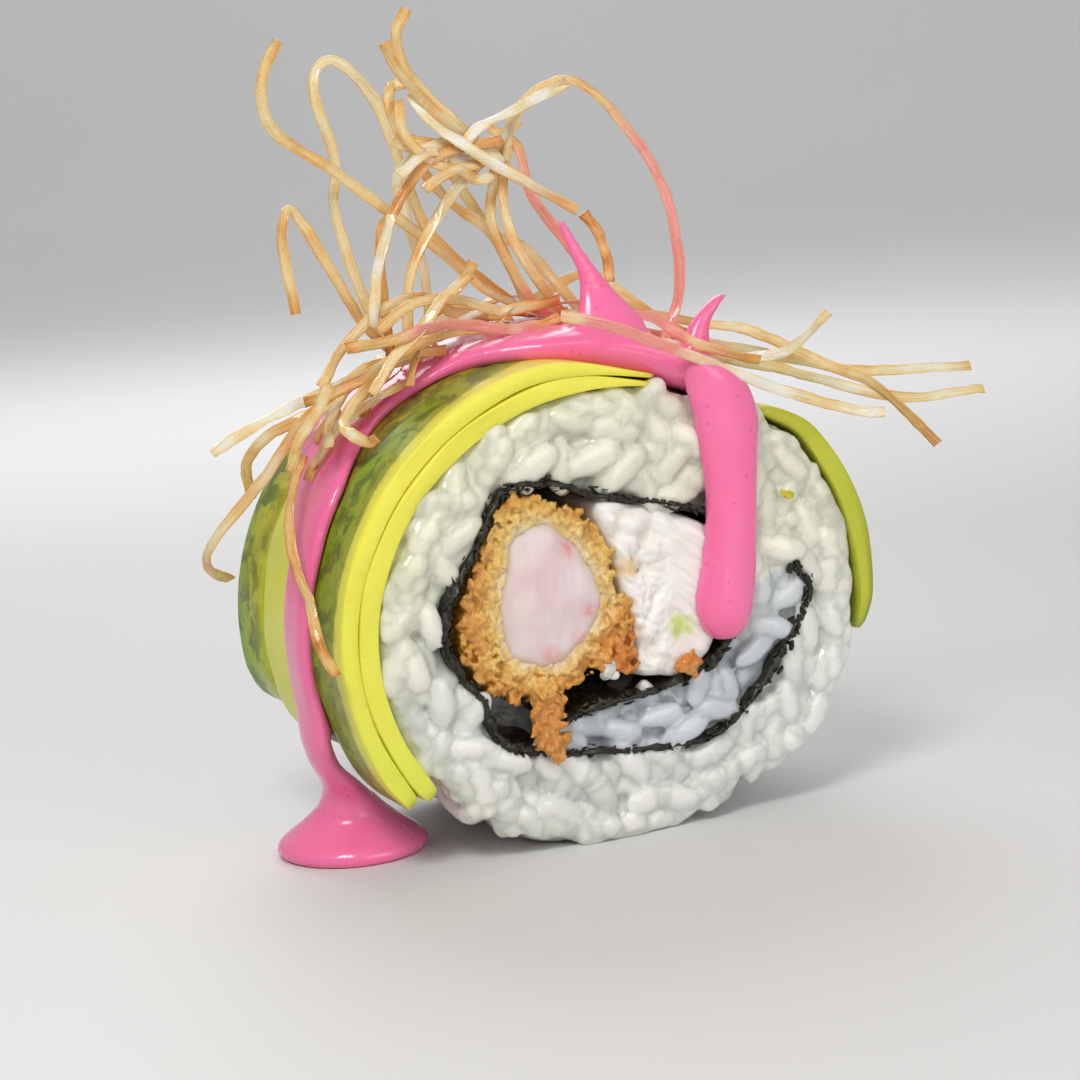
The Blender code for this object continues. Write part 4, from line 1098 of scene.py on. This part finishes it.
# Left edge and right edge as x and z, thickness
DRIP_LEVELS = [
    ((8.8, 46.8), (12.6, 45.2), 0.9), ((8.7, 45.6), (15.2, 42.6), 2.2),
    ((8.5, 43.2), (16.2, 39.6), 2.2), ((9.2, 39.4), (16.0, 37.0), 2.3),
    ((9.9, 32.4), (15.5, 31.6), 2.2), ((9.2, 26.6), (15.1, 26.0), 2.3),
    ((8.2, 22.4), (14.5, 21.8), 2.5), ((8.5, 19.8), (13.7, 19.4), 2.3),
    ((9.8, 18.1), (12.4, 18.0), 1.3)]
# Middle, half width along x and along y
NECK_LEVELS = [
    ((-28.4, -4.0, 15.6), 0.6, 3.0), ((-28.0, -4.0, 12.6), 1.1, 3.0),
    ((-27.0, -3.4, 9.8), 1.3, 2.4), ((-25.4, -2.6, 7.8), 1.7, 2.5),
    ((-24.2, -1.2, 6.0), 2.4, 2.8), ((-23.6, -0.3, 4.0), 3.6, 3.7)]
PEAK_LEVELS = [
    ((3.6, -8.6, 47.5), 4.6, 2.2), ((3.8, -8.4, 49.6), 3.6, 1.7), ((3.4, -7.8, 51.8), 2.2, 1.1),
    ((2.7, -7.2, 54.2), 1.2, 0.8), ((1.7, -6.6, 56.6), 0.8, 0.55), ((0.7, -5.8, 59.4), 0.45, 0.4)]
SPUR_LEVELS = [
    ((13.4, -6.2, 43.6), 2.6, 2.0), ((14.4, -6.0, 46.2), 1.6, 1.3),
    ((15.2, -5.9, 48.0), 1.15, 0.9), ((16.6, -5.8, 49.5), 0.95, 0.8),
    ((17.9, -5.7, 50.5), 0.7, 0.7)]
PUDDLE_AT = (-23.5, 0.0)
# Radius and height of the puddle
PUDDLE_PROFILE = [
    (0.0, 6.2), (2.2, 5.7), (3.2, 4.6), (4.5, 3.4), (5.8, 2.4), (7.0, 1.5), (7.5, 0.8), (7.1, 0.0)]
COAT_SIDES, DRIP_SIDES, PUDDLE_SIDES = 20, 18, 32
ROOT_RINGS, ROOT_BACK = 9, -12.2


def finer(rows, steps):
    """More rows of a table of numbers, smoothly between its own."""
    table = np.array(rows, float)
    fine = []
    for i in range(len(table) - 1):
        before, start = table[max(i - 1, 0)], table[i]
        end, after = table[i + 1], table[min(i + 2, len(table) - 1)]
        fine += [on_curve(before, start, end, after, step / steps) for step in range(steps)]
    fine.append(table[-1])
    return fine


def coat_rings():
    """Levels of the coat, with edges that wander a little."""
    rings = []
    for angle, front, back, low, high in finer(SAUCE_COAT, 4):
        front += 0.45 * noise.noise(Vector((angle * 0.09, 0, 2)))
        back += 0.7 * noise.noise(Vector((angle * 0.09, 5, 2)))
        ring = []
        for k in range(COAT_SIDES):
            wide, tall = squarish(math.tau * k / COAT_SIDES, 0.5, 0.7)
            y = (front + back) / 2 + wide * (back - front) / 2
            wave = 0.35 * noise.noise(Vector((angle * 0.07, y * 0.22, 7))) if tall > 0 else 0
            ring.append(on_rice(angle, (low + high) / 2 + tall * (high - low) / 2 + wave, y))
        rings.append(ring)
    return rings


def drip_rings():
    """Levels of the drip, flat behind and round in front."""
    rings = []
    rows = [(*left, *right, thick) for left, right, thick in DRIP_LEVELS]
    for i, (left_x, left_z, right_x, right_z, thick) in enumerate(finer(rows, 5)):
        back = ROOT_BACK if i < ROOT_RINGS else -FACE - 0.1
        ring = []
        for k in range(DRIP_SIDES):
            turn = math.tau * k / DRIP_SIDES
            share = 0.5 - 0.5 * math.cos(turn)
            round_part = k < DRIP_SIDES / 2
            front = -FACE - 0.3 - thick * math.sin(turn) ** 0.8 if round_part else back
            ring.append(Vector((left_x + (right_x - left_x) * share, front,
                                left_z + (right_z - left_z) * share)))
        rings.append(ring)
    return rings


def oval(middle, half_x, half_y, count=16):
    """Level oval ring."""
    return [Vector(middle) + Vector((half_x * math.cos(math.tau * k / count),
                                     half_y * math.sin(math.tau * k / count), 0))
            for k in range(count)]


def ovals(levels, steps):
    """Rings between levels given by a middle and two half widths."""
    rows = finer([(*middle, half_x, half_y) for middle, half_x, half_y in levels], steps)
    return [oval(row[:3], row[3], row[4]) for row in rows]


puddle = [oval((*PUDDLE_AT, z), max(radius, 0.05), max(radius, 0.05), PUDDLE_SIDES)
          for radius, z in finer(PUDDLE_PROFILE[::-1], 3)]
bodies = [
    closed_rings("coat", coat_rings()), closed_rings("drip", drip_rings()),
    closed_rings("neck", ovals(NECK_LEVELS, 3)), closed_rings("puddle", puddle),
    closed_rings("peak", ovals(PEAK_LEVELS, 4)), closed_rings("spur", ovals(SPUR_LEVELS, 4))]
sauce = fused("sauce_pour", bodies, voxel=0.36, melting=9)
places = positions(sauce)
places[:, 2] = np.maximum(places[:, 2], 0.02)
reshape(sauce, places)
look, tree, shader, place, surface = new_look(
    "pink sauce", patch=110, fine=3400, smoothest=0.14, roughest=0.28, depth=0.02,
    Subsurface_Weight=0.25, Subsurface_Scale=0.0012, Subsurface_Radius=(1.0, 0.35, 0.5),
    Coat_Weight=0.4, Coat_Roughness=0.08)
specks = put(tree, "ShaderNodeTexVoronoi", {"Vector": place, "Scale": 700.0})
dots = spanned(tree, specks.outputs["Distance"], 0.1, 0.16, 0.35, 0.0)
colour = blend(tree, surface["Patch"], (1.0, 0.17, 0.40), (1.0, 0.20, 0.44))
colour = blend(tree, dots, colour, (0.55, 0.08, 0.16))
tree.links.new(colour, shader.inputs["Base Color"])
settle(sauce, look, "sauce", "sauce")

# Crispy strands
# Thin flat shreds, fried until they curl and turn golden, and dropped in a tangle on the
# wet sauce, which holds them. Each is a ribbon along its own route, fibrous and uneven.
# Width, y at its start and at its end, and its route as x and z
STRAND_ROUTES = {
    "left_hook": (1.5, -4, 4, [
        (-26, 78.5), (-27.5, 74.5), (-26, 70), (-19.5, 65.5), (-10, 58), (-3.5, 52.5),
        (3, 49.5)]),
    "hairpin": (1.3, 2, 5, [
        (-14, 48), (-16.5, 52), (-19, 61.5), (-18.5, 66.5), (-20, 74), (-17.5, 76),
        (-13.5, 72), (-11, 65), (-8, 58), (1, 50)]),
    "small_hook": (1.1, -3, 1, [
        (-26, 53), (-26.5, 60), (-25, 62.5), (-21.5, 57), (-18, 51), (-14.5, 47.5)]),
    "top_tip": (1.2, -2, 1, [(-12, 80.5), (-13, 78), (-11.5, 74), (-6, 68.5), (-3, 66)]),
    "top_side": (1.3, -4, 0, [(-15.5, 77.5), (-13.5, 74.5), (-9, 70), (-3.5, 65.5)]),
    "curl": (1.2, 0, 0, [(-12, 73.5), (-13.5, 73), (-13.5, 70.5), (-11.5, 68), (-3, 66.5)]),
    "arch": (1.1, 0, -3, [
        (-2.5, 64.5), (-0.5, 70), (4, 72.5), (7.5, 71), (12, 65.5), (14.5, 59.5),
        (15, 51.5), (12.5, 46)]),
    "pale_spear": (2.0, -1, -4, [(-12, 72.5), (-9.5, 69), (-3.5, 64.5), (3.5, 60)]),
    "pink_spear": (1.6, 1, -2, [(-3, 68.5), (-0.5, 66.5), (0.5, 61.5), (4, 56), (7, 49)]),
    "trunk": (1.9, 0, -1, [(-2.5, 67), (-3.5, 63), (-4, 59), (-0.5, 51.5), (3.5, 48.5)]),
    "trunk_twin": (1.3, -1, -2, [(-2, 66.5), (-3, 63), (-2.5, 58), (0.5, 52.5), (3, 49)]),
    "leaf": (2.4, 2, 3, [(-7.5, 65.5), (-3, 58.5), (0.5, 56.5), (4, 52.5), (7, 49)]),
    "cross": (1.3, -1, -2, [(-3, 67), (-8.5, 62.5), (-13.5, 55.5), (-14.5, 48)]),
    "back_drop": (1.0, 1, 4, [(-5, 68), (-12, 65.5), (-12, 61.5), (-10, 55), (-9.5, 48)]),
    "thin_dark": (0.8, -2, 0, [
        (-3, 67.5), (-10.5, 66), (-14.5, 61.5), (-16, 58.5), (-15.5, 47)]),
    "tie": (1.0, 1, 1, [(-10.5, 65), (-8, 62), (-3, 57.5), (0, 50)]),
    "left_wide": (1.8, 0, -4, [
        (-5, 50), (-9.5, 51.5), (-12, 53), (-17, 52.5), (-22, 49), (-24.5, 46)]),
    "orange_band": (2.4, -3, -6, [(-4, 49.5), (-11.5, 49.5), (-17, 48), (-22, 46), (-27, 45)]),
    "brown_band": (2.0, 3, 1, [(5, 49.5), (-2.5, 50.5), (-9, 51.5), (-14, 48)]),
    "left_spear": (2.4, -6, -2, [
        (-36.5, 41.5), (-32.5, 43), (-26, 45), (-19.5, 46.5), (-11.5, 48)]),
    "left_trail": (1.3, 12, 0, [
        (-29.5, 26), (-32.5, 28), (-32.5, 31), (-28, 36.5), (-23, 43), (-15, 47.5)]),
    "elbow": (1.4, -9, -3, [
        (-20, 40), (-23, 41.5), (-23.5, 43), (-20, 46), (-16, 48), (-11, 48)]),
    "short_drop": (1.0, -6, -2, [(-25, 40.5), (-24, 43), (-20, 47), (-13, 47.5)]),
    "up_spike": (1.2, -3, 0, [(-7.5, 56), (-8.5, 54), (-11, 51.5), (-12.5, 48)]),
    "right_long": (1.5, 2, -6, [
        (6, 49), (13, 48.5), (19, 47), (23, 46), (31.5, 41.5), (36, 39), (42, 32.5)]),
    "right_upper": (1.8, 0, -2, [(8, 48), (19.5, 45), (30, 42), (36, 40.5), (49, 39.5)]),
    "right_lower": (1.8, -2, -5, [
        (10, 46.5), (20, 43.5), (25.5, 42), (32.5, 39.5), (39.5, 37.5), (48.5, 37.5)]),
    "right_kick": (1.3, -4, -10, [(9, 47), (18, 44.5), (22, 44), (24.5, 45), (27.5, 48)]),
    "right_sheet": (3.4, -15.2, -16.8, [
        (-4.4, 51.4), (0.8, 49.8), (6.9, 47), (13.1, 44), (19.3, 41.3), (26.1, 38.9),
        (29.2, 38.4)]),
    "back_strip": (1.6, 6, 3, [(1, 50), (8, 53), (11.5, 51), (14.5, 48.5), (20, 45)]),
    "side_strand": (2.8, -1, -16, [
        (-25.7, 39.4), (-27.9, 36.6), (-29.3, 33.2), (-29.7, 29.7), (-29.2, 26.6), (-27.9, 23.7),
        (-26.8, 22.1), (-26, 21.2)]),
    "curled_leaf": (1.6, 11, 3, [(-27, 34), (-28, 38), (-26, 41), (-20, 43.5)]),
    "glass_bridge": (0.9, -2, -1, [
        (-7.4, 66.8), (-5.4, 68.7), (-1.8, 69.9), (1.6, 71.2), (4.7, 72.3)]),
    "dark_thread": (0.7, -3, -4, [(4.6, 59.7), (5.9, 57.7), (6.4, 55.4), (6.6, 52.8)]),
    "pale_thread": (0.9, -2, -3, [(-15.1, 61.3), (-16.3, 58.6), (-17.4, 55.8), (-18.3, 51)]),
    "knot_high": (1.2, 0, -2, [
        (-13.7, 68.2), (-11.1, 67.1), (-7.6, 67.7), (-4.2, 66.5), (-2, 63.9)]),
    "knot_cross": (1.3, -2, 0, [
        (-14, 65), (-10.5, 66.8), (-6.2, 65.7), (-2.6, 67.3), (-0.1, 69)]),
    "knot_side": (1.1, -1, -2, [(-13.2, 72), (-12.9, 68.6), (-9.6, 65.5), (-5.6, 65.2)]),
    "knot_low": (1.0, -3, -2, [(-12, 63.4), (-8.5, 65), (-5.9, 63.8), (-2.4, 64.9)]),
    "low_web": (1.7, -5, -3, [
        (-18.5, 50.9), (-15, 52.8), (-10.1, 52.8), (-5.3, 51.2), (1.5, 51.5)]),
    "low_band": (2.2, -7, -5, [
        (-22.9, 49.7), (-17.5, 50), (-11.9, 50.7), (-4.3, 49.4), (0.4, 50)]),
    "low_cross": (1.5, -7, -5, [
        (-20.6, 45.1), (-18.1, 48.1), (-14.8, 50.5), (-12.3, 53.1), (-8.8, 55.1)]),
    "front_band": (1.8, -8, -10, [(3.2, 50.6), (8.3, 49.4), (13.2, 46.2), (19.4, 44.1)]),
    "left_drop": (1.6, -8, -6, [(-25.2, 46.7), (-26.3, 44.4), (-28.1, 41.7), (-29, 38.9)])}
# How pale a strand is, from dark brown at 0 to nearly white at 1
TINTS = {
    "pale_spear": 0.72, "leaf": 0.55, "back_drop": 0.75, "right_kick": 0.8, "left_spear": 0.7,
    "right_upper": 0.65, "right_lower": 0.6, "hairpin": 0.6, "right_sheet": 0.75,
    "glass_bridge": 0.8, "pale_thread": 0.7, "dark_thread": 0.15, "knot_cross": 0.75,
    "knot_high": 0.65, "thin_dark": 0.2, "orange_band": 0.3, "brown_band": 0.25,
    "side_strand": 0.22, "small_hook": 0.35}
# The shares of a strand's way between which it is pink with sauce
SAUCED = {
    "arch": (0.5, 1.0), "right_sheet": (0.0, 0.4), "pink_spear": (0.3, 1.0),
    "trunk": (0.75, 1.0), "right_long": (0.0, 0.2), "right_upper": (0.0, 0.2),
    "front_band": (0.0, 0.6), "low_band": (0.3, 0.8)}


def sauce_top(angle):
    """Rise of the sauce's top at an angle, between the levels of its table."""
    angles, *_, tops = zip(*SAUCE_COAT)
    return float(np.interp(angle, angles, tops))


def lifted(point, margin):
    """Move a strand's point outwards until it is clear of the sauce and the avocado."""
    x, z, rise = point.x, point.z - AXIS_HEIGHT, 0.0
    # Each step closes in on the rise whose oval runs through the point
    for _ in range(20):
        rise += (math.hypot(x / (HALF_WIDTH + rise), z / (HALF_HEIGHT + rise)) - 1) * 20
    angle = math.degrees(math.atan2(z / (HALF_HEIGHT + rise), x / (HALF_WIDTH + rise)))
    return on_roll(angle, max(rise, sauce_top(angle % 360) + margin), point.y)


def ribbon_tree():
    """Geometry nodes that sweep a flat, rounded section along each guide line."""
    tree, given, result = new_tree("Ribbons on lines", "GeometryNodeTree", {
        "Guide": "Geometry", "Width": "Float", "Thickness": "Float", "Sides": "Int",
        "Unevenness": "Float", "Uneven Scale": "Float", "Material": "Material"},
        {"Geometry": "Geometry"})
    line = put(tree, "GeometryNodeMeshToCurve", {"Mesh": given["Guide"]})
    sized = put(tree, "GeometryNodeSetCurveRadius", {
        "Curve": line.outputs[0], "Radius": named(tree, "width")})
    tilted = put(tree, "GeometryNodeSetCurveNormal", {
        "Curve": sized.outputs[0], "Normal": named(tree, "facing", "FLOAT_VECTOR")}, mode="FREE")
    ring = put(tree, "GeometryNodeCurvePrimitiveCircle", {
        "Resolution": given["Sides"], "Radius": 1.0})
    round_place = put(tree, "ShaderNodeSeparateXYZ", {
        0: put(tree, "GeometryNodeInputPosition").outputs[0]})
    labelled = put(tree, "GeometryNodeStoreNamedAttribute", {
        "Geometry": ring.outputs[0], "Name": "across", "Value": round_place.outputs["Y"]},
        data_type="FLOAT", domain="POINT")
    scale = put(tree, "ShaderNodeCombineXYZ", {
        "X": given["Thickness"], "Y": given["Width"], "Z": 1.0})
    flat = put(tree, "GeometryNodeTransform", {
        "Geometry": labelled.outputs[0], "Scale": scale.outputs[0]})
    swept = put(tree, "GeometryNodeCurveToMesh", {
        "Curve": tilted.outputs[0], "Profile Curve": flat.outputs[0], "Fill Caps": True})
    place = put(tree, "GeometryNodeInputPosition").outputs[0]
    return roughen(tree, given, result, swept.outputs[0], place, 3.0)


guide = {label: [] for label in ("points", "edges", "width", "facing", "tint", "pink", "run")}
FRONT = Vector((-0.42, -0.89, 0.17))
USUAL_TINT, NO_SAUCE, WIDE_RIBBON = 0.45, (2, 2), 3
LOOSE_STRANDS, LOOSE_STEPS = 20, 25


def add_ribbon(line, width, phase, pale, pink, upward=False):
    """Add one ribbon's line to the guide, with its widths, facing and tints."""
    first = len(guide["points"])
    for i, point in enumerate(line):
        share = i / (len(line) - 1)
        ragged = 1 + 0.3 * noise.noise(Vector((share * 11, phase, 0)))
        taper = min(1.0, 0.45 + 6 * min(share, 1 - share))
        along = (line[min(i + 1, len(line) - 1)] - line[max(i - 1, 0)]).normalized()
        side = Vector((point.x, 0, point.z - AXIS_HEIGHT)).normalized() if upward else FRONT
        flat = (side - along * side.dot(along)).normalized()
        twist = 0.6 * math.sin(phase * 2.3 + 4 * share) \
            + 0.9 * noise.noise(Vector((share * 4, phase, 3)))
        twist *= 0.25 if width > WIDE_RIBBON else 0.8
        guide["points"].append(point)
        guide["width"].append(width * ragged * taper)
        guide["facing"].append(Matrix.Rotation(twist, 3, along) @ flat)
        end = math.exp(-14 * min(share, 1 - share))
        drift = 0.45 * noise.noise(Vector((share * 6, phase, 8)))
        guide["tint"].append(pale + drift - 0.3 * end)
        within = min(share - pink[0], pink[1] - share)
        within += 0.12 * noise.noise(Vector((share * 9, phase, 1)))
        guide["pink"].append(max(0.0, min(1.0, 0.5 + within / 0.12)))
        guide["run"].append(share * len(line) * 0.5 + 37 * phase)
        if i:
            guide["edges"].append((first + i - 1, first + i))


for name, (width, start_y, end_y, route) in STRAND_ROUTES.items():
    line = [(x, start_y + (end_y - start_y) * i / (len(route) - 1), z)
            for i, (x, z) in enumerate(route)]
    line = smooth_line(line, 9)
    # The wide sheet alone lies in front of the drip and not on the roll
    if name != "right_sheet":
        line = [lifted(point, 0.25) for point in line]
    add_ribbon(line, width, len(name), TINTS.get(name, USUAL_TINT), SAUCED.get(name, NO_SAUCE))
rng = random.Random(17)
for k in range(LOOSE_STRANDS):
    angle = rng.uniform(66, 138)
    y = rng.uniform(-3.5, 5.5)
    drift = rng.uniform(-5, 5)
    reach = rng.uniform(12, 26)
    line = []
    for i in range(LOOSE_STEPS + 1):
        share = i / LOOSE_STEPS
        here = angle + reach * (share - 0.5)
        arched = 1.9 * math.sin(math.pi * share) * (0.6 + 0.4 * math.sin(k))
        line.append(on_roll(here, sauce_top(here) + 0.4 + arched,
                            y + drift * (share - 0.5) + 0.9 * math.sin(4 * share + k)))
    add_ribbon(line, rng.uniform(0.9, 1.8), 40 + k, rng.uniform(0.2, 0.8), NO_SAUCE, upward=True)

look, tree, shader, place, surface = new_look(
    "fried strands", patch=380, fine=2400, smoothest=0.12, roughest=0.32, depth=0.12,
    Subsurface_Weight=0.3, Subsurface_Scale=0.001, Subsurface_Radius=(1.0, 0.6, 0.25),
    Coat_Weight=0.8, Coat_Roughness=0.08)
sideways = kept(tree, "across")
thread = put(tree, "ShaderNodeCombineXYZ", {
    "X": calc(tree, "MULTIPLY", kept(tree, "run"), 0.25),
    "Y": calc(tree, "MULTIPLY", sideways, 5.5)})
fibres = put(tree, "ShaderNodeTexNoise", {
    "Vector": thread.outputs[0], "Scale": 1.0, "Detail": 5.0}).outputs["Fac"]
streak = spanned(tree, fibres, 0.34, 0.66)
edge = calc(tree, "MULTIPLY", sideways, sideways)
tone = calc(tree, "SUBTRACT", kept(tree, "tint"), 0.17)
for shade, share in ((streak, 0.4), (surface["Patch"], 0.25), (edge, -0.28)):
    tone = calc(tree, "MULTIPLY_ADD", shade, share, tone)
colour = ramp(tree, tone, (0.0, (0.52, 0.18, 0.035)), (0.22, (0.82, 0.38, 0.10)),
              (0.5, (0.92, 0.59, 0.25)), (0.75, (0.95, 0.77, 0.47)), (1.0, (0.98, 0.93, 0.80)))
sauced = blend(tree, streak, (0.95, 0.20, 0.30), (0.88, 0.42, 0.24))
colour = blend(tree, kept(tree, "pink"), colour, sauced)
tree.links.new(colour, shader.inputs["Base Color"])
ridges = put(tree, "ShaderNodeBump", {
    "Distance": 0.15 * MM, "Height": fibres, "Normal": surface["Normal"]})
tree.links.new(ridges.outputs[0], shader.inputs["Normal"])
strands = shape_of("fried_strands", faces=[], **guide)
strands = grow(strands, ribbon_tree(), {
    "Width": 0.56 * MM, "Thickness": 0.09 * MM, "Sides": 14, "Unevenness": 0.5 * MM,
    "Uneven Scale": 450.0, "Material": look})
settle(strands, look, "crispy_strands", "crispy_strands")

# Floor
# A plain pale ground that rises to a low rim far behind, so that no horizon shows. It
# isn't part of the roll.
# Radius and height of the ground
GROUND_PROFILE = [(0, 0), (300, 0), (560, 0), (760, 20), (900, 90), (960, 200), (980, 420)]
GROUND_SIDES = 96
rings = [oval((0, 0, z), max(far, 1.0), max(far, 1.0), GROUND_SIDES)
         for far, z in finer(GROUND_PROFILE, 6)]
faces = between_rings(len(rings), GROUND_SIDES)
floor = shape_of("floor", [point for ring in rings for point in ring],
                 [*faces, tuple(range(GROUND_SIDES))])
floor.data.polygons.foreach_set("use_smooth", [True] * len(floor.data.polygons))
look, tree, shader, place, surface = new_look(
    "pale ground", patch=3, fine=40, smoothest=0.5, roughest=0.6, depth=0.1)
tree.links.new(blend(tree, surface["Patch"], (0.72, 0.72, 0.73), (0.76, 0.76, 0.77)),
               shader.inputs["Base Color"])
floor.data.materials.append(look)

# Light
# Soft lamps: the key high on the left, a weaker fill in front, one behind for the rims and
# one that lights the ground far behind. A pale sky fills the shadows.


def soft_light(name, place, target, size, power, colour=(1, 1, 1)):
    """Square soft light that points from its place to a target."""
    light = bpy.data.lights.new(name, "AREA")
    light.size = size
    light.energy = power
    light.color = colour
    item = linked(name, light)
    item.location = Vector(place) * MM
    item.rotation_euler = (Vector(target) - Vector(place)).to_track_quat("-Z", "Y").to_euler()


soft_light("key", (-200, -230, 360), (0, 0, 30), 0.14, 0.95, (1.0, 0.98, 0.94))
soft_light("fill", (120, -460, 170), (0, 0, 25), 0.3, 0.6, (1.0, 0.97, 0.93))
soft_light("back", (60, 330, 300), (0, 0, 40), 0.3, 0.75)
soft_light("backdrop", (180, 330, 420), (420, 900, 90), 0.5, 1.05)
world = bpy.data.worlds.new("Studio")
world.use_nodes = True
sky = world.node_tree.nodes["Background"].inputs
sky["Color"].default_value = (1.0, 0.99, 0.97, 1)
sky["Strength"].default_value = 0.36
bpy.context.scene.world = world
bpy.context.scene.view_settings.view_transform = "Standard"

# Camera
# It looks from 25 degrees to the left of the roll's axis and 10 degrees above it, leans by
# 4 degrees and has the lens that fits the rims of both cut faces in the photo.
CAMERA_PLACE, CAMERA_ROLL = (-0.13104, -0.27869, 0.08186), -4
camera = linked("camera", bpy.data.cameras.new("camera"))
camera.data.lens = 104.854
camera.data.sensor_width = 36
backward = Vector((-0.41620, -0.89254, 0.17365))
level = Vector((0.90631, -0.42262, 0.0))
upright = backward.cross(level)
roll = math.radians(CAMERA_ROLL)
across = level * math.cos(roll) + upright * math.sin(roll)
upward = upright * math.cos(roll) - level * math.sin(roll)
camera.matrix_world = Matrix.Translation(CAMERA_PLACE) @ Matrix(
    (across, upward, backward)).transposed().to_4x4()
bpy.context.scene.camera = camera

bpy.context.view_layer.update()
